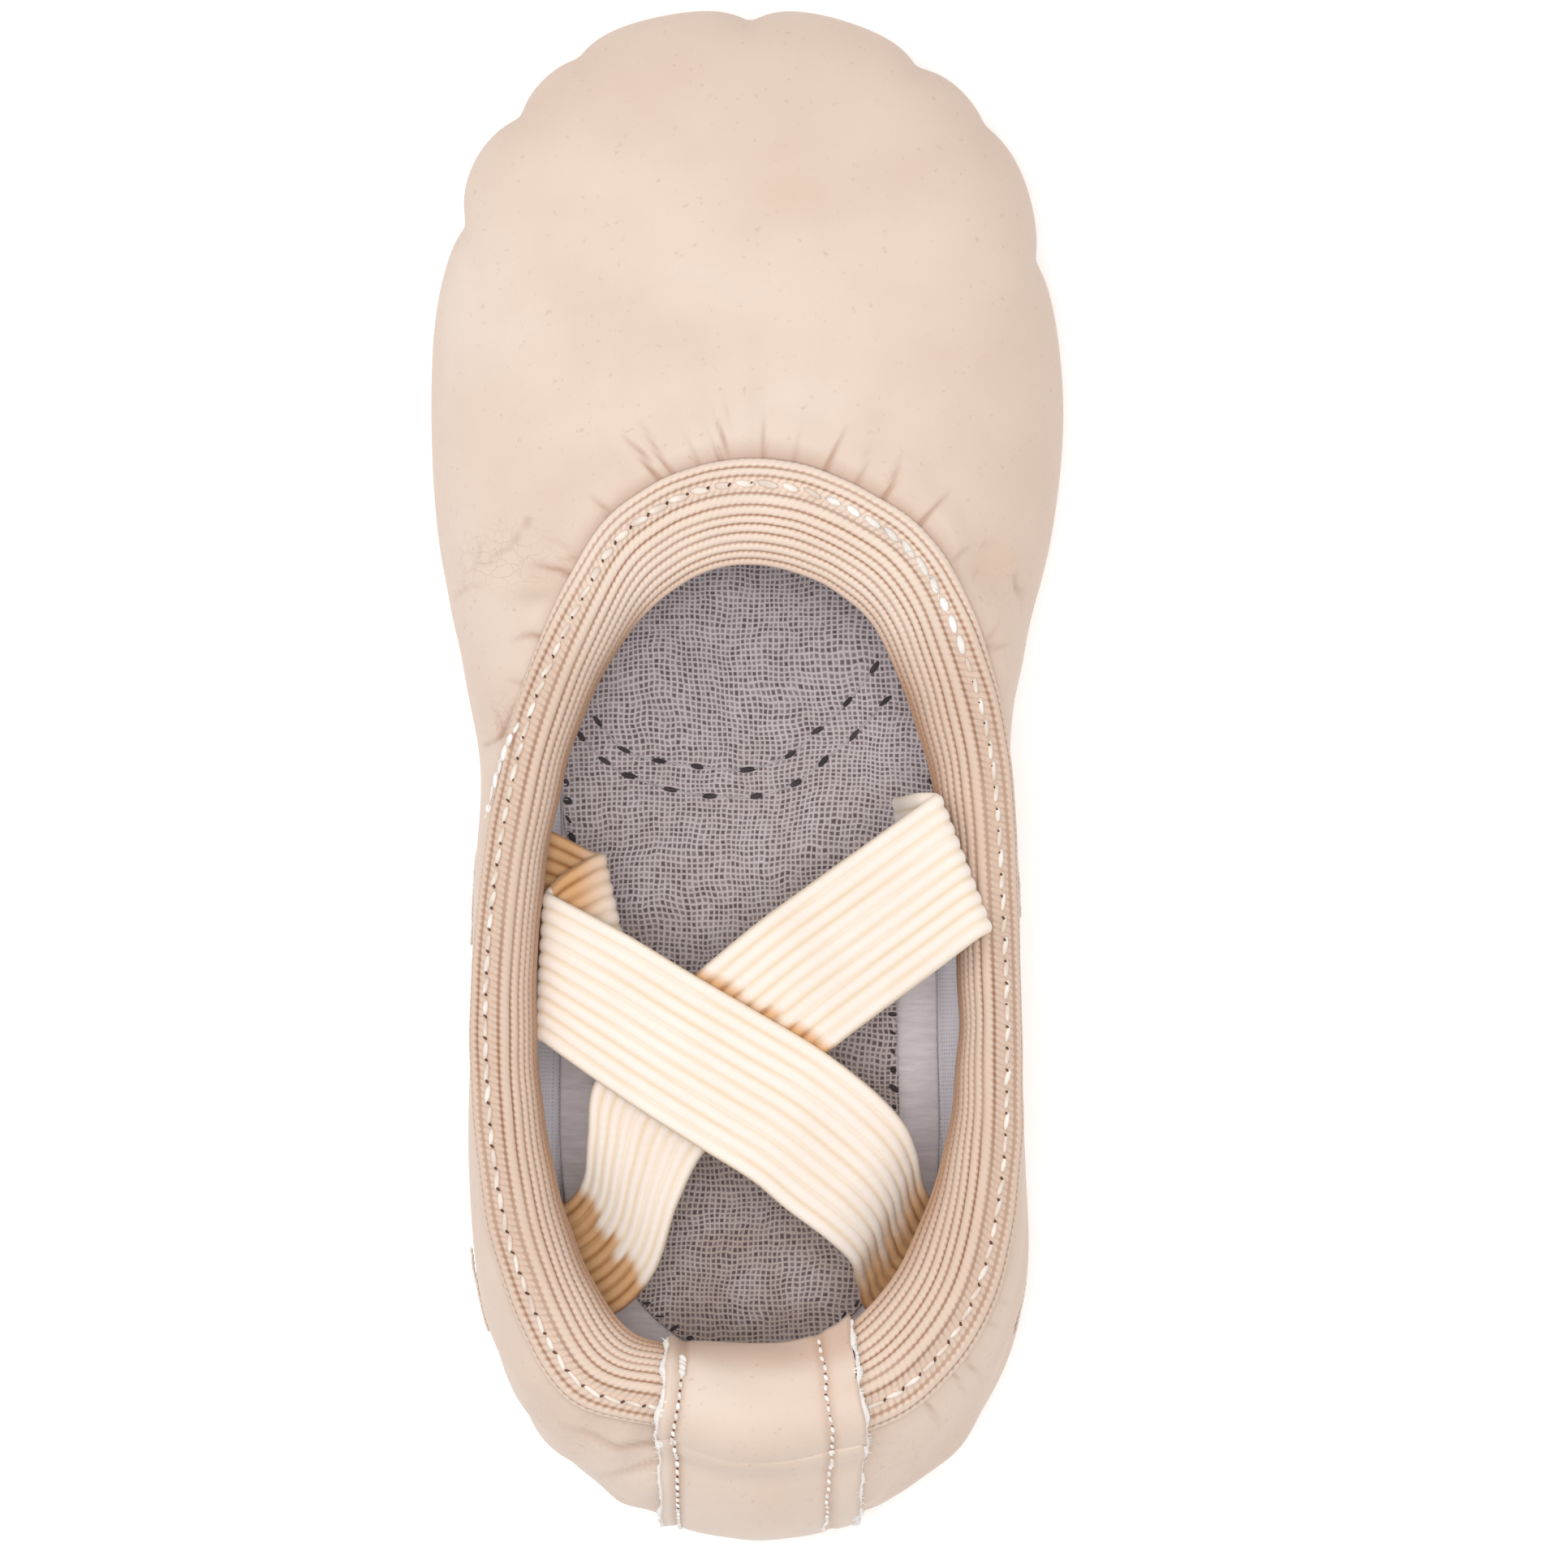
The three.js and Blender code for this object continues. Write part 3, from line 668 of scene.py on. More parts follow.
def linear(colour: str) -> tuple[float, float, float, float]:
    """Turns an sRGB hex colour into linear values.

    Args:
        colour: The colour, as "#rrggbb".

    Returns:
        Linear red, green and blue with full alpha.
    """
    parts = [int(colour[i:i + 2], 16) / 255 for i in (1, 3, 5)]
    red, green, blue = (c / 12.92 if c <= 0.04045 else ((c + 0.055) / 1.055) ** 2.4 for c in parts)
    return red, green, blue, 1.0


def feed(tree: bpy.types.NodeTree, made: bpy.types.Node, inputs: Mapping[Any, Any]) -> None:
    """Sets or links a node's inputs.

    Args:
        tree: The material's nodes.
        made: The node that is fed.
        inputs: Input name or index to a constant, a hex colour, an output socket, or a node
            whose first output is meant.
    """
    for key, value in inputs.items():
        if isinstance(value, bpy.types.Node):
            value = next(output for output in value.outputs if output.enabled)
        if isinstance(value, bpy.types.NodeSocket):
            tree.links.new(value, made.inputs[key])
        else:
            made.inputs[key].default_value = linear(value) if isinstance(value, str) else value


def node(tree: bpy.types.NodeTree, kind: str, inputs: Mapping[Any, Any] | None = None,
         **settings: Any) -> bpy.types.Node:
    """Adds a shader node.

    Args:
        tree: The material's nodes.
        kind: The node's type, without "ShaderNode".
        inputs: What feeds its inputs, as feed() takes it.
        settings: The node's own properties.

    Returns:
        The node.
    """
    made = tree.nodes.new("ShaderNode" + kind)
    for key, value in settings.items():
        setattr(made, key, value)
    feed(tree, made, inputs or {})
    return made


def per_mm(size: float) -> float:
    """A texture's scale on coordinates in metres, for features of this size in millimetres."""
    return 1.0 / (size * MM)


@dataclass(frozen=True)
class Finish:
    """A surface finish: its name, its slot and its shader nodes."""

    name: str
    slot: Slot

    def dress(self, tree: bpy.types.NodeTree, shader: bpy.types.Node) -> None:
        """Adds the finish's nodes to a material that has only its shader.

        Args:
            tree: The material's nodes.
            shader: Its principled shader.
        """
        raise NotImplementedError


@lru_cache(maxsize=None)
def material_of(finish: Finish) -> bpy.types.Material:
    """Makes the one material of a finish.

    Args:
        finish: The finish.

    Returns:
        Its material, the same one each time.
    """
    material = bpy.data.materials.new(finish.name)
    material.use_nodes = True
    tree = material.node_tree
    finish.dress(tree, tree.nodes["Principled BSDF"])
    return material


def set_shader(tree: bpy.types.NodeTree, shader: bpy.types.Node, colour: Source,
               roughness: Source, height: Source, depth: float, strength: float,
               constants: Mapping[str, Any]) -> None:
    """Links colour, roughness and bump to the shader, and sets its constants.

    Args:
        tree: The material's nodes.
        shader: Its principled shader.
        colour: Base colour.
        roughness: Roughness.
        height: Bump height, 0 to 1.
        depth: What a height of 1 is, in millimetres.
        strength: How strongly the bump shows.
        constants: Values set on the shader's own sockets.
    """
    bump = node(tree, "Bump", {"Height": height, "Distance": depth * MM, "Strength": strength})
    feed(tree, shader, {"Base Color": colour, "Roughness": roughness, "Normal": bump, **constants})


@dataclass(frozen=True)
class DyedLeather(Finish):
    """Thin, drum-dyed glove leather, skin pink, lightly finished: a matt face with fine pores,
    painted shade in its creases and a little redder painted shade where it turns away from the
    light."""

    name: str = "dyed_glove_leather"
    slot: Slot = Slot.LEATHER
    fair: str = "#e6d6c9"
    # deep is the mottling's darker tone and also the painted shade of the sides and turns; crease
    # is the painted shade of folds, notches and the collar's edge, and also the colour of real
    # flecks and hair lines.
    deep: str = "#d5baa6"
    crease: str = "#a57a60"
    pore: float = 0.45

    def dress(self, tree: bpy.types.NodeTree, shader: bpy.types.Node) -> None:
        """Mottled colour, pore and hair-line bump, and painted shade in the creases, on the sides
        and where it turns away.
        """
        add = partial(node, tree)
        place = add("TexCoord").outputs["Object"]
        mottle = add("TexNoise", {"Vector": place, "Scale": per_mm(14), "Detail": 3.0})
        base = add("Mix", {0: mottle, 6: self.fair, 7: self.deep}, data_type="RGBA")
        # Painted shade: the sides, the toe and the turns away from the light are darker.
        shade = add("Attribute", attribute_name="shade").outputs["Fac"]
        base = add("Mix", {0: shade, 6: base, 7: self.deep}, data_type="RGBA")
        # Painted shade in the creases, in the toe's notches and along the collar's edge.
        folds = add("Attribute", attribute_name="crease").outputs["Fac"]
        base = add("Mix", {0: folds, 6: base, 7: self.crease}, data_type="RGBA")
        specks = add("TexNoise", {"Vector": place, "Scale": per_mm(0.9), "Detail": 2.0})
        fleck = add("MapRange", {"Value": specks, "From Min": 0.66, "From Max": 0.76,
                                 "To Max": 0.22})
        base = add("Mix", {0: fleck, 6: base, 7: self.crease}, data_type="RGBA")
        # Fine branching hair lines where the leather has been flexed.
        worn = add("Attribute", attribute_name="worn").outputs["Fac"]
        bent = add("TexNoise", {"Vector": place, "Scale": per_mm(3.5), "Detail": 2.0})
        warp = add("VectorMath", {0: bent.outputs["Color"], 1: (0.003, 0.003, 0.003)},
                   operation="MULTIPLY")
        moved = add("VectorMath", {0: place, 1: warp}, operation="ADD")
        combed = add("VectorMath", {0: moved, 1: (0.45, 1.0, 1.0)}, operation="MULTIPLY")
        cells = add("TexVoronoi", {"Vector": combed, "Scale": per_mm(1.35)},
                    feature="DISTANCE_TO_EDGE")
        broken = add("MapRange", {"Value": mottle, "From Min": 0.4, "From Max": 0.62,
                                  "To Min": 0.02, "To Max": 0.07})
        line = add("MapRange", {"Value": cells, "From Max": broken, "To Min": 1.0, "To Max": 0.0})
        crackle = add("Math", {0: line, 1: worn}, operation="MULTIPLY")
        thin = add("Math", {0: crackle, 1: 0.22}, operation="MULTIPLY")
        base = add("Mix", {0: thin, 6: base, 7: self.crease}, data_type="RGBA")
        pores = add("TexVoronoi", {"Vector": place, "Scale": per_mm(self.pore)})
        soft = add("TexNoise", {"Vector": place, "Scale": per_mm(1.3), "Detail": 5.0})
        grain = add("Math", {0: pores, 1: 0.45, 2: soft}, operation="MULTIPLY_ADD")
        height = add("Math", {0: crackle, 1: -1.2, 2: grain}, operation="MULTIPLY_ADD")
        rough = add("MapRange", {"Value": soft, "To Min": 0.5, "To Max": 0.64})
        set_shader(tree, shader, base, rough, height, 0.035, 0.7,
                   {"IOR": 1.45, "Sheen Weight": 0.12, "Sheen Roughness": 0.5,
                    "Specular IOR Level": 0.35})


@dataclass(frozen=True)
class RibbedElastic(Finish):
    """Woven elastic: rubber cores covered by a fine twill of polyester, so that rounded ribs run
    along it with saw-toothed valleys between them; the valleys are painted shade."""

    name: str = "ribbed_elastic"
    slot: Slot = Slot.COLLAR
    # valley: painted shade between the ribs, also the twill's dark ticks. rolled: painted shade
    # where the band turns, and a random tint on the ridges. shadow: the valleys' painted shade on
    # the turned part.
    ridge: str = "#eddaca"
    valley: str = "#a57a60"
    rolled: str = "#b58d70"
    shadow: str = "#7c4f35"
    pick: float = 0.36
    tooth: float = 0.34
    dash: float = 0.07
    spread: float = 0.62
    uneven: float = 0.5
    weave_depth: float = 0.022

    def dress(self, tree: bpy.types.NodeTree, shader: bpy.types.Node) -> None:
        """Ridge colour, painted shade in the valleys, the twill's slanting picks, and painted shade
        on the turned part (the tan on the straps).
        """
        add = partial(node, tree)
        weave = add("UVMap", uv_map="weave")
        relief = add("Attribute", attribute_name="relief").outputs["Fac"]
        turned = add("Attribute", attribute_name="turned").outputs["Fac"]
        parts = add("SeparateXYZ", {"Vector": weave})
        slant = add("Math", {0: parts.outputs["Y"], 1: 0.55, 2: parts.outputs["X"]},
                    operation="MULTIPLY_ADD")
        picks = add("Math", {0: slant, 1: 1 / self.pick}, operation="MULTIPLY")
        phase = add("Math", {0: picks, 1: 1.0}, operation="PINGPONG")
        # The valley's edge moves in and out with the picks: that is the saw-toothed line.
        edge = add("Math", {0: phase, 1: -self.tooth, 2: relief}, operation="MULTIPLY_ADD")
        high = add("MapRange", {"Value": edge, "From Min": -0.02, "From Max": self.spread})
        # Some valleys are open and take the painted shade, others nearly closed.
        ribs = add("VectorMath", {0: weave, 1: (0.05, 0.85, 1.0)}, operation="MULTIPLY")
        open_rib = add("TexNoise", {"Vector": ribs, "Scale": 1.0, "Detail": 1.0})
        closed = add("MapRange", {"Value": open_rib, "From Min": 0.4, "From Max": 0.62,
                                  "To Max": self.uneven})
        face = add("Math", {0: high, 1: closed}, operation="MAXIMUM")
        drift = add("TexNoise", {"Vector": weave, "Scale": 0.16, "Detail": 3.0})
        # Painted shade on the turned part: its ridges take the rolled colour.
        ridge = add("Mix", {0: turned, 6: self.ridge, 7: self.rolled}, data_type="RGBA")
        tint = add("MapRange", {"Value": drift, "To Max": 0.2})
        ridge = add("Mix", {0: tint, 6: ridge, 7: self.rolled}, data_type="RGBA")
        ticks = add("Math", {0: phase, 1: self.dash}, operation="MULTIPLY")
        ridge = add("Mix", {0: ticks, 6: ridge, 7: self.valley}, data_type="RGBA")
        # Painted shade in the valleys, deeper on the turned part.
        valley = add("Mix", {0: turned, 6: self.valley, 7: self.shadow}, data_type="RGBA")
        colour = add("Mix", {0: face, 6: valley, 7: ridge}, data_type="RGBA")
        fuzz = add("TexNoise", {"Vector": weave, "Scale": 6.0, "Detail": 2.0})
        height = add("Math", {0: phase, 1: 0.6, 2: fuzz}, operation="MULTIPLY_ADD")
        rough = add("MapRange", {"Value": fuzz, "To Min": 0.72, "To Max": 0.95})
        set_shader(tree, shader, colour, rough, height, self.weave_depth, 0.8,
                   {"IOR": 1.5, "Sheen Weight": 0.25, "Sheen Roughness": 0.5,
                    "Specular IOR Level": 0.25})


@dataclass(frozen=True)
class StrapElastic(RibbedElastic):
    """The instep straps' cream elastic: broad flat ribs, tan near its sewn ends; the tan on the
    over strap's fold and beside the crossing is painted shade.
    """

    name: str = "cream_strap_elastic"
    slot: Slot = Slot.STRAP
    ridge: str = "#f6ece3"
    # valley: painted shade between the ribs. rolled: the tan, painted shade on the fold and beside
    # the crossing. shadow: the valleys' painted shade in the tan.
    valley: str = "#e6d0b2"
    rolled: str = "#dcab7a"
    shadow: str = "#a36b3a"
    pick: float = 0.55
    tooth: float = 0.06
    dash: float = 0.03
    spread: float = 0.85
    uneven: float = 0.75
    weave_depth: float = 0.02


@dataclass(frozen=True)
class Gauze(Finish):
    """Open plain-weave cotton gauze glued over the insole: about 17 threads per centimetre, with
    dark square holes; browner towards the heel."""

    name: str = "cotton_gauze"
    slot: Slot = Slot.GAUZE
    pitch: float = 0.58
    front: str = "#d6c9ca"
    rear: str = "#cdbbb0"
    hole: str = "#695a5c"

    def dress(self, tree: bpy.types.NodeTree, shader: bpy.types.Node) -> None:
        """Threads and holes from a warped square lattice."""
        add = partial(node, tree)
        place = add("TexCoord").outputs["Object"]
        bend = add("TexNoise", {"Vector": place, "Scale": per_mm(17), "Detail": 3.0})
        centred = add("VectorMath", {0: bend.outputs["Color"], 1: (0.5, 0.5, 0.5)},
                      operation="SUBTRACT")
        shift = add("VectorMath", {0: centred, "Scale": 0.0042}, operation="SCALE")
        moved = add("VectorMath", {0: place, 1: shift}, operation="ADD")
        jolt = add("TexNoise", {"Vector": place, "Scale": per_mm(2.4), "Detail": 2.0})
        jolted = add("VectorMath", {0: jolt.outputs["Color"], 1: (0.5, 0.5, 0.5)},
                     operation="SUBTRACT")
        nudge = add("VectorMath", {0: jolted, "Scale": 0.0006}, operation="SCALE")
        moved = add("VectorMath", {0: moved, 1: nudge}, operation="ADD")
        counted = add("VectorMath", {0: moved, "Scale": per_mm(self.pitch)}, operation="SCALE")
        cell = add("VectorMath", {0: counted}, operation="FLOOR")
        inside = add("VectorMath", {0: counted}, operation="FRACTION")
        middle = add("VectorMath", {0: inside, 1: (0.5, 0.5, 0.5)}, operation="SUBTRACT")
        offset = add("VectorMath", {0: middle}, operation="ABSOLUTE")
        away = add("SeparateXYZ", {"Vector": offset})
        widest = add("Math", {0: away.outputs["X"], 1: away.outputs["Y"]}, operation="MAXIMUM")
        at_cell = add("VectorMath", {0: cell, 1: (1.0, 1.0, 0.0)}, operation="MULTIPLY")
        luck = add("TexWhiteNoise", {"Vector": at_cell}, noise_dimensions="3D")
        size = add("MapRange", {"Value": luck, "To Min": 0.29, "To Max": 0.35})
        open_part = add("Math", {0: size, 1: widest}, operation="SUBTRACT")
        hole = add("MapRange", {"Value": open_part, "From Min": -0.08, "From Max": 0.10})
        along = add("SeparateXYZ", {"Vector": place}).outputs["Y"]
        fore = add("MapRange", {"Value": along, "From Min": -0.055, "From Max": 0.01})
        thread = add("Mix", {0: fore, 6: self.rear, 7: self.front}, data_type="RGBA")
        cloud = add("TexNoise", {"Vector": place, "Scale": per_mm(4), "Detail": 4.0})
        paler = add("MapRange", {"Value": cloud, "From Min": 0.35, "From Max": 0.75,
                                 "To Max": 0.5})
        thread = add("Mix", {0: paler, 6: thread, 7: "#e9e0e6"}, data_type="RGBA")
        dark = add("MapRange", {"Value": luck, "To Min": 0.62, "To Max": 1.0})
        depth = add("Math", {0: hole, 1: dark}, operation="MULTIPLY")
        colour = add("Mix", {0: depth, 6: thread, 7: self.hole}, data_type="RGBA")
        height = add("Math", {0: 1.0, 1: hole}, operation="SUBTRACT")
        rough = add("MapRange", {"Value": cloud, "To Min": 0.8, "To Max": 1.0})
        set_shader(tree, shader, colour, rough, height, 0.12, 0.6,
                   {"IOR": 1.5, "Specular IOR Level": 0.2, "Sheen Weight": 0.2})


@dataclass(frozen=True)
class PlainWeave(Finish):
    """Fine plain-woven cotton: lilac-white, its threads just visible."""

    name: str = "woven_cotton_lining"
    slot: Slot = Slot.LINING
    pitch: float = 0.42
    light: str = "#f8f4f8"
    shade: str = "#dad3de"

    def dress(self, tree: bpy.types.NodeTree, shader: bpy.types.Node) -> None:
        """Crossing threads from the piece's own weave coordinates."""
        add = partial(node, tree)
        weave = add("UVMap", uv_map="weave")
        counted = add("VectorMath", {0: weave, "Scale": 1 / self.pitch}, operation="SCALE")
        parts = add("SeparateXYZ", {"Vector": counted})
        warp = add("Math", {0: parts.outputs["X"], 1: 0.5}, operation="PINGPONG")
        weft = add("Math", {0: parts.outputs["Y"], 1: 0.5}, operation="PINGPONG")
        gap = add("Math", {0: warp, 1: weft}, operation="MULTIPLY")
        pit = add("MapRange", {"Value": gap, "From Min": 0.1, "From Max": 0.22})
        cloud = add("TexNoise", {"Vector": weave, "Scale": 0.25, "Detail": 4.0})
        tint = add("MapRange", {"Value": cloud, "To Max": 0.4})
        light = add("Mix", {0: tint, 6: self.light, 7: self.shade}, data_type="RGBA")
        colour = add("Mix", {0: pit, 6: light, 7: self.shade}, data_type="RGBA")
        height = add("Math", {0: 1.0, 1: pit}, operation="SUBTRACT")
        rough = add("MapRange", {"Value": cloud, "To Min": 0.82, "To Max": 1.0})
        set_shader(tree, shader, colour, rough, height, 0.08, 0.8,
                   {"IOR": 1.5, "Specular IOR Level": 0.2, "Sheen Weight": 0.15})


@dataclass(frozen=True)
class Fibrous(Finish):
    """A surface of short loose fibres: brushed suede, needled felt, foam or a raw cut edge."""

    light: str = "#c9ab90"
    dark: str = "#a5836a"
    fibre: float = 0.5
    streak: tuple[float, float, float] = (1.0, 1.0, 1.0)
    rise: float = 0.1
    fluff: float = 0.4

    def dress(self, tree: bpy.types.NodeTree, shader: bpy.types.Node) -> None:
        """Nap from fine stretched noise over soft patches where the nap lies differently."""
        add = partial(node, tree)
        place = add("TexCoord").outputs["Object"]
        pulled = add("VectorMath", {0: place, 1: self.streak}, operation="MULTIPLY")
        nap = add("TexNoise", {"Vector": pulled, "Scale": per_mm(self.fibre), "Detail": 6.0,
                               "Roughness": 0.65})
        patch = add("TexNoise", {"Vector": place, "Scale": per_mm(9), "Detail": 3.0})
        tone = add("MapRange", {"Value": nap, "From Min": 0.3, "From Max": 0.7})
        colour = add("Mix", {0: tone, 6: self.dark, 7: self.light}, data_type="RGBA")
        lay = add("MapRange", {"Value": patch, "To Max": 0.45})
        colour = add("Mix", {0: lay, 6: colour, 7: self.dark}, data_type="RGBA")
        rough = add("MapRange", {"Value": patch, "To Min": 0.85, "To Max": 1.0})
        set_shader(tree, shader, colour, rough, nap, self.rise, 0.9,
                   {"IOR": 1.5, "Specular IOR Level": 0.15, "Sheen Weight": self.fluff,
                    "Sheen Roughness": 0.6})


@dataclass(frozen=True)
class SpunThread(Finish):
    """Bonded sewing thread of three twisted plies."""

    name: str = "white_sewing_thread"
    slot: Slot = Slot.THREAD
    light: str = "#fbf8f4"
    shade: str = "#cfc3b8"
    ply: float = 0.35

    def dress(self, tree: bpy.types.NodeTree, shader: bpy.types.Node) -> None:
        """Slanting plies and a little dirt."""
        add = partial(node, tree)
        place = add("TexCoord").outputs["Object"]
        plies = add("TexWave", {"Vector": place, "Scale": per_mm(self.ply) / 20, "Distortion": 2.0,
                                "Detail": 2.0, "Detail Scale": 2.0}, bands_direction="DIAGONAL")
        dirt = add("TexNoise", {"Vector": place, "Scale": per_mm(2.5), "Detail": 3.0})
        tone = add("MapRange", {"Value": plies.outputs["Fac"], "To Max": 0.55})
        colour = add("Mix", {0: tone, 6: self.light, 7: self.shade}, data_type="RGBA")
        soil = add("MapRange", {"Value": dirt, "From Min": 0.45, "From Max": 0.8, "To Max": 0.5})
        colour = add("Mix", {0: soil, 6: colour, 7: self.shade}, data_type="RGBA")
        rough = add("MapRange", {"Value": dirt, "To Min": 0.55, "To Max": 0.8})
        set_shader(tree, shader, colour, rough, plies.outputs["Fac"], 0.06, 0.8,
                   {"IOR": 1.5, "Specular IOR Level": 0.35, "Sheen Weight": 0.2})


LEATHER = DyedLeather()
COLLAR_ELASTIC = RibbedElastic(name="pink_collar_elastic")
STRAP_ELASTIC = StrapElastic()
GAUZE = Gauze()
LINING = PlainWeave()
HEEL_LINING = PlainWeave(name="beige_heel_lining", slot=Slot.HEEL_LINING, pitch=0.35,
                         light="#d6c1ae", shade="#b49a85")
WHITE_THREAD = SpunThread()
CREAM_THREAD = SpunThread(name="cream_sewing_thread", light="#f1e7dd", shade="#c9b09c")
DARK_THREAD = SpunThread(name="dark_sewing_thread", slot=Slot.DARK_THREAD, light="#4a4042",
                         shade="#221c1e")
# Dark beads of painted shade that stand for the shadow inside needle holes.
NEEDLE_HOLE_SHADE = SpunThread(name="shadowed_needle_hole", slot=Slot.DARK_THREAD, light="#6a4433",
                         shade="#3c251a")
PALE_LINT = SpunThread(name="grey_lining_thread", slot=Slot.GAUZE, light="#d2c9cc",
                       shade="#a59b9e", ply=0.25)
SUEDE = Fibrous(name="brushed_suede", slot=Slot.SUEDE)
FELT = Fibrous(name="needled_felt", slot=Slot.UNDERLAY, light="#f6efef", dark="#d9cfd0",
               fibre=1.1, streak=(0.35, 2.2, 1.0), rise=0.08, fluff=0.2)
FOAM = Fibrous(name="die_cut_foam", slot=Slot.FOAM, light="#e9e1d2", dark="#d2c6b2", fibre=0.8,
               fluff=0.0)
RAW_EDGE = Fibrous(name="raw_leather_edge", slot=Slot.LEATHER, light="#fdfaf7", dark="#e9dfd6",
                   fibre=0.35, rise=0.15, fluff=0.6)
BINDING_TAPE = Fibrous(name="woven_seam_tape", slot=Slot.UNDERLAY, light="#c9bdb6", dark="#9d908b",
                       fibre=0.4, streak=(3.0, 0.5, 1.0), rise=0.06, fluff=0.1)


# ---- The upper


@dataclass(frozen=True)
class Crease:
    """A crease in the leather: its line in plan, its depth and its width, in millimetres."""

    line: tuple[tuple[float, float], ...]
    depth: float = 0.35
    width: float = 0.35

    def depth_at(self, x: Array, y: Array) -> Array:
        """How deep the crease is; it fades towards its far end.

        Args:
            x: Plan places.
            y: Plan places.

        Returns:
            Depths in millimetres.
        """
        points = np.array(self.line, float)
        total = np.linalg.norm(np.diff(points, axis=0), axis=1).sum()
        deepest = np.zeros_like(x)
        run = 0.0
        for a, b in zip(points[:-1], points[1:]):
            step = b - a
            length = float(np.linalg.norm(step))
            t = np.clip(((x - a[0]) * step[0] + (y - a[1]) * step[1]) / length ** 2, 0, 1)
            away = np.hypot(x - a[0] - t * step[0], y - a[1] - t * step[1])
            share = (run + t * length) / total
            deepest = np.maximum(deepest, bell(away, self.width) * (1 - 0.85 * share ** 1.5))
            run += length
        return self.depth * deepest


# Gathers that run out from the collar, starting at its edge.
GATHERS = (
    Crease(((-8.5, 30.6), (-10.4, 32.6), (-10.8, 33.9), (-13.2, 36.0)), 0.64, 0.25),
    Crease(((-7.4, 31.6), (-8.9, 33.2), (-11.0, 37.2)), 0.47, 0.22),
    Crease(((-2.6, 32.8), (-2.7, 34.5), (-2.0, 38.5)), 0.55, 0.24),
    Crease(((1.9, 33.0), (1.8, 34.5), (1.8, 38.2)), 0.38, 0.22),
    Crease(((8.3, 32.0), (8.9, 33.5), (10.4, 36.5)), 0.59, 0.25),
    Crease(((14.2, 28.8), (15.3, 30.4), (16.2, 33.4)), 0.59, 0.26),
    Crease(((18.0, 26.0), (20.0, 28.4), (21.7, 30.1)), 0.51, 0.24),
    Crease(((11.6, 30.6), (12.4, 32.2), (12.8, 34.6)), 0.26, 0.28),
    Crease(((5.0, 33.0), (5.3, 34.6), (5.6, 36.4)), 0.19, 0.28),
    Crease(((-13.7, 26.4), (-14.6, 27.3), (-15.3, 28.6), (-16.6, 29.5)), 0.51, 0.24),
    Crease(((-4.9, 32.6), (-5.4, 34.0), (-6.6, 36.0)), 0.21, 0.28),
)
# Folds and flex lines beside the mouth.
FLEX_LINES = (
    Crease(((-17.6, 20.5), (-19.7, 21.6), (-20.9, 21.8), (-21.9, 22.2), (-23.2, 22.1)), 0.55, 0.32),
    Crease(((-23.2, 27.2), (-24.5, 24.8), (-25.5, 23.8), (-26.9, 23.3), (-27.5, 22.4),
            (-28.8, 22.4), (-30.4, 21.2)), 0.22, 0.26),
    Crease(((-28.4, 24.6), (-28.8, 22.4)), 0.16, 0.24),
    Crease(((-31.1, 19.0), (-30.1, 19.8), (-28.9, 20.0), (-28.1, 20.5)), 0.20, 0.25),
    Crease(((-18.1, 22.4), (-18.8, 23.9), (-19.9, 24.6), (-21.3, 25.0)), 0.22, 0.26),
    Crease(((-19.0, 22.6), (-19.8, 22.8)), 0.25, 0.25),
    Crease(((-21.0, 14.1), (-22.3, 14.6), (-23.3, 14.6), (-24.7, 14.1)), 0.50, 0.32),
    Crease(((-26.8, 3.9), (-26.5, 4.5), (-26.7, 5.7), (-27.5, 7.1)), 0.30, 0.26),
    Crease(((-26.6, 4.1), (-26.1, 5.3), (-25.5, 6.9), (-24.5, 7.9)), 0.35, 0.26),
    Crease(((-28.1, 2.9), (-26.7, 3.7), (-25.3, 4.7), (-24.2, 6.1), (-24.3, 6.9)), 0.30, 0.26),
    Crease(((-22.7, 8.3), (-22.8, 8.9), (-23.7, 9.5), (-25.5, 9.9)), 0.30, 0.32),
    Crease(((22.2, 22.8), (23.3, 23.9), (24.2, 24.1)), 0.25, 0.26),
    Crease(((29.1, 21.2), (29.1, 20.0), (29.7, 17.5)), 0.22, 0.26),
    Crease(((29.1, 19.8), (30.2, 19.0)), 0.18, 0.24),
    Crease(((24.7, 13.3), (26.5, 13.4), (27.7, 13.6)), 0.35, 0.28),
    Crease(((25.6, 14.2), (26.7, 15.9)), 0.18, 0.26),
    Crease(((24.5, 21.1), (25.3, 22.2)), 0.16, 0.26),
    Crease(((25.3, 24.5), (26.5, 24.6), (27.1, 24.5)), 0.15, 0.26),
    Crease(((-9.4, -71.8), (-13.5, -71.9), (-19.5, -69.9)), 0.35, 0.38),
    Crease(((-9.4, -73.6), (-12.5, -74.7), (-16.5, -75.4)), 0.28, 0.34),
    Crease(((25.6, -55.6), (28.2, -56.8)), 0.28, 0.22),
    Crease(((24.8, -57.9), (26.9, -59.3)), 0.26, 0.22),
    Crease(((23.0, -62.1), (25.2, -65.0)), 0.30, 0.24),
    Crease(((21.8, -63.9), (23.4, -66.3)), 0.26, 0.22),
    Crease(((19.2, -67.3), (20.5, -69.6)), 0.30, 0.24),
)


@dataclass(frozen=True)
class Swell:
    """A soft pillow (or, if negative, a hollow) in the leather, as an ellipse in plan."""

    x: float
    y: float
    reach_x: float
    reach_y: float
    height: float

    def height_at(self, x: Array, y: Array) -> Array:
        """Its height at plan places."""
        away = ((x - self.x) / self.reach_x) ** 2 + ((y - self.y) / self.reach_y) ** 2
        return self.height * np.exp(-away)


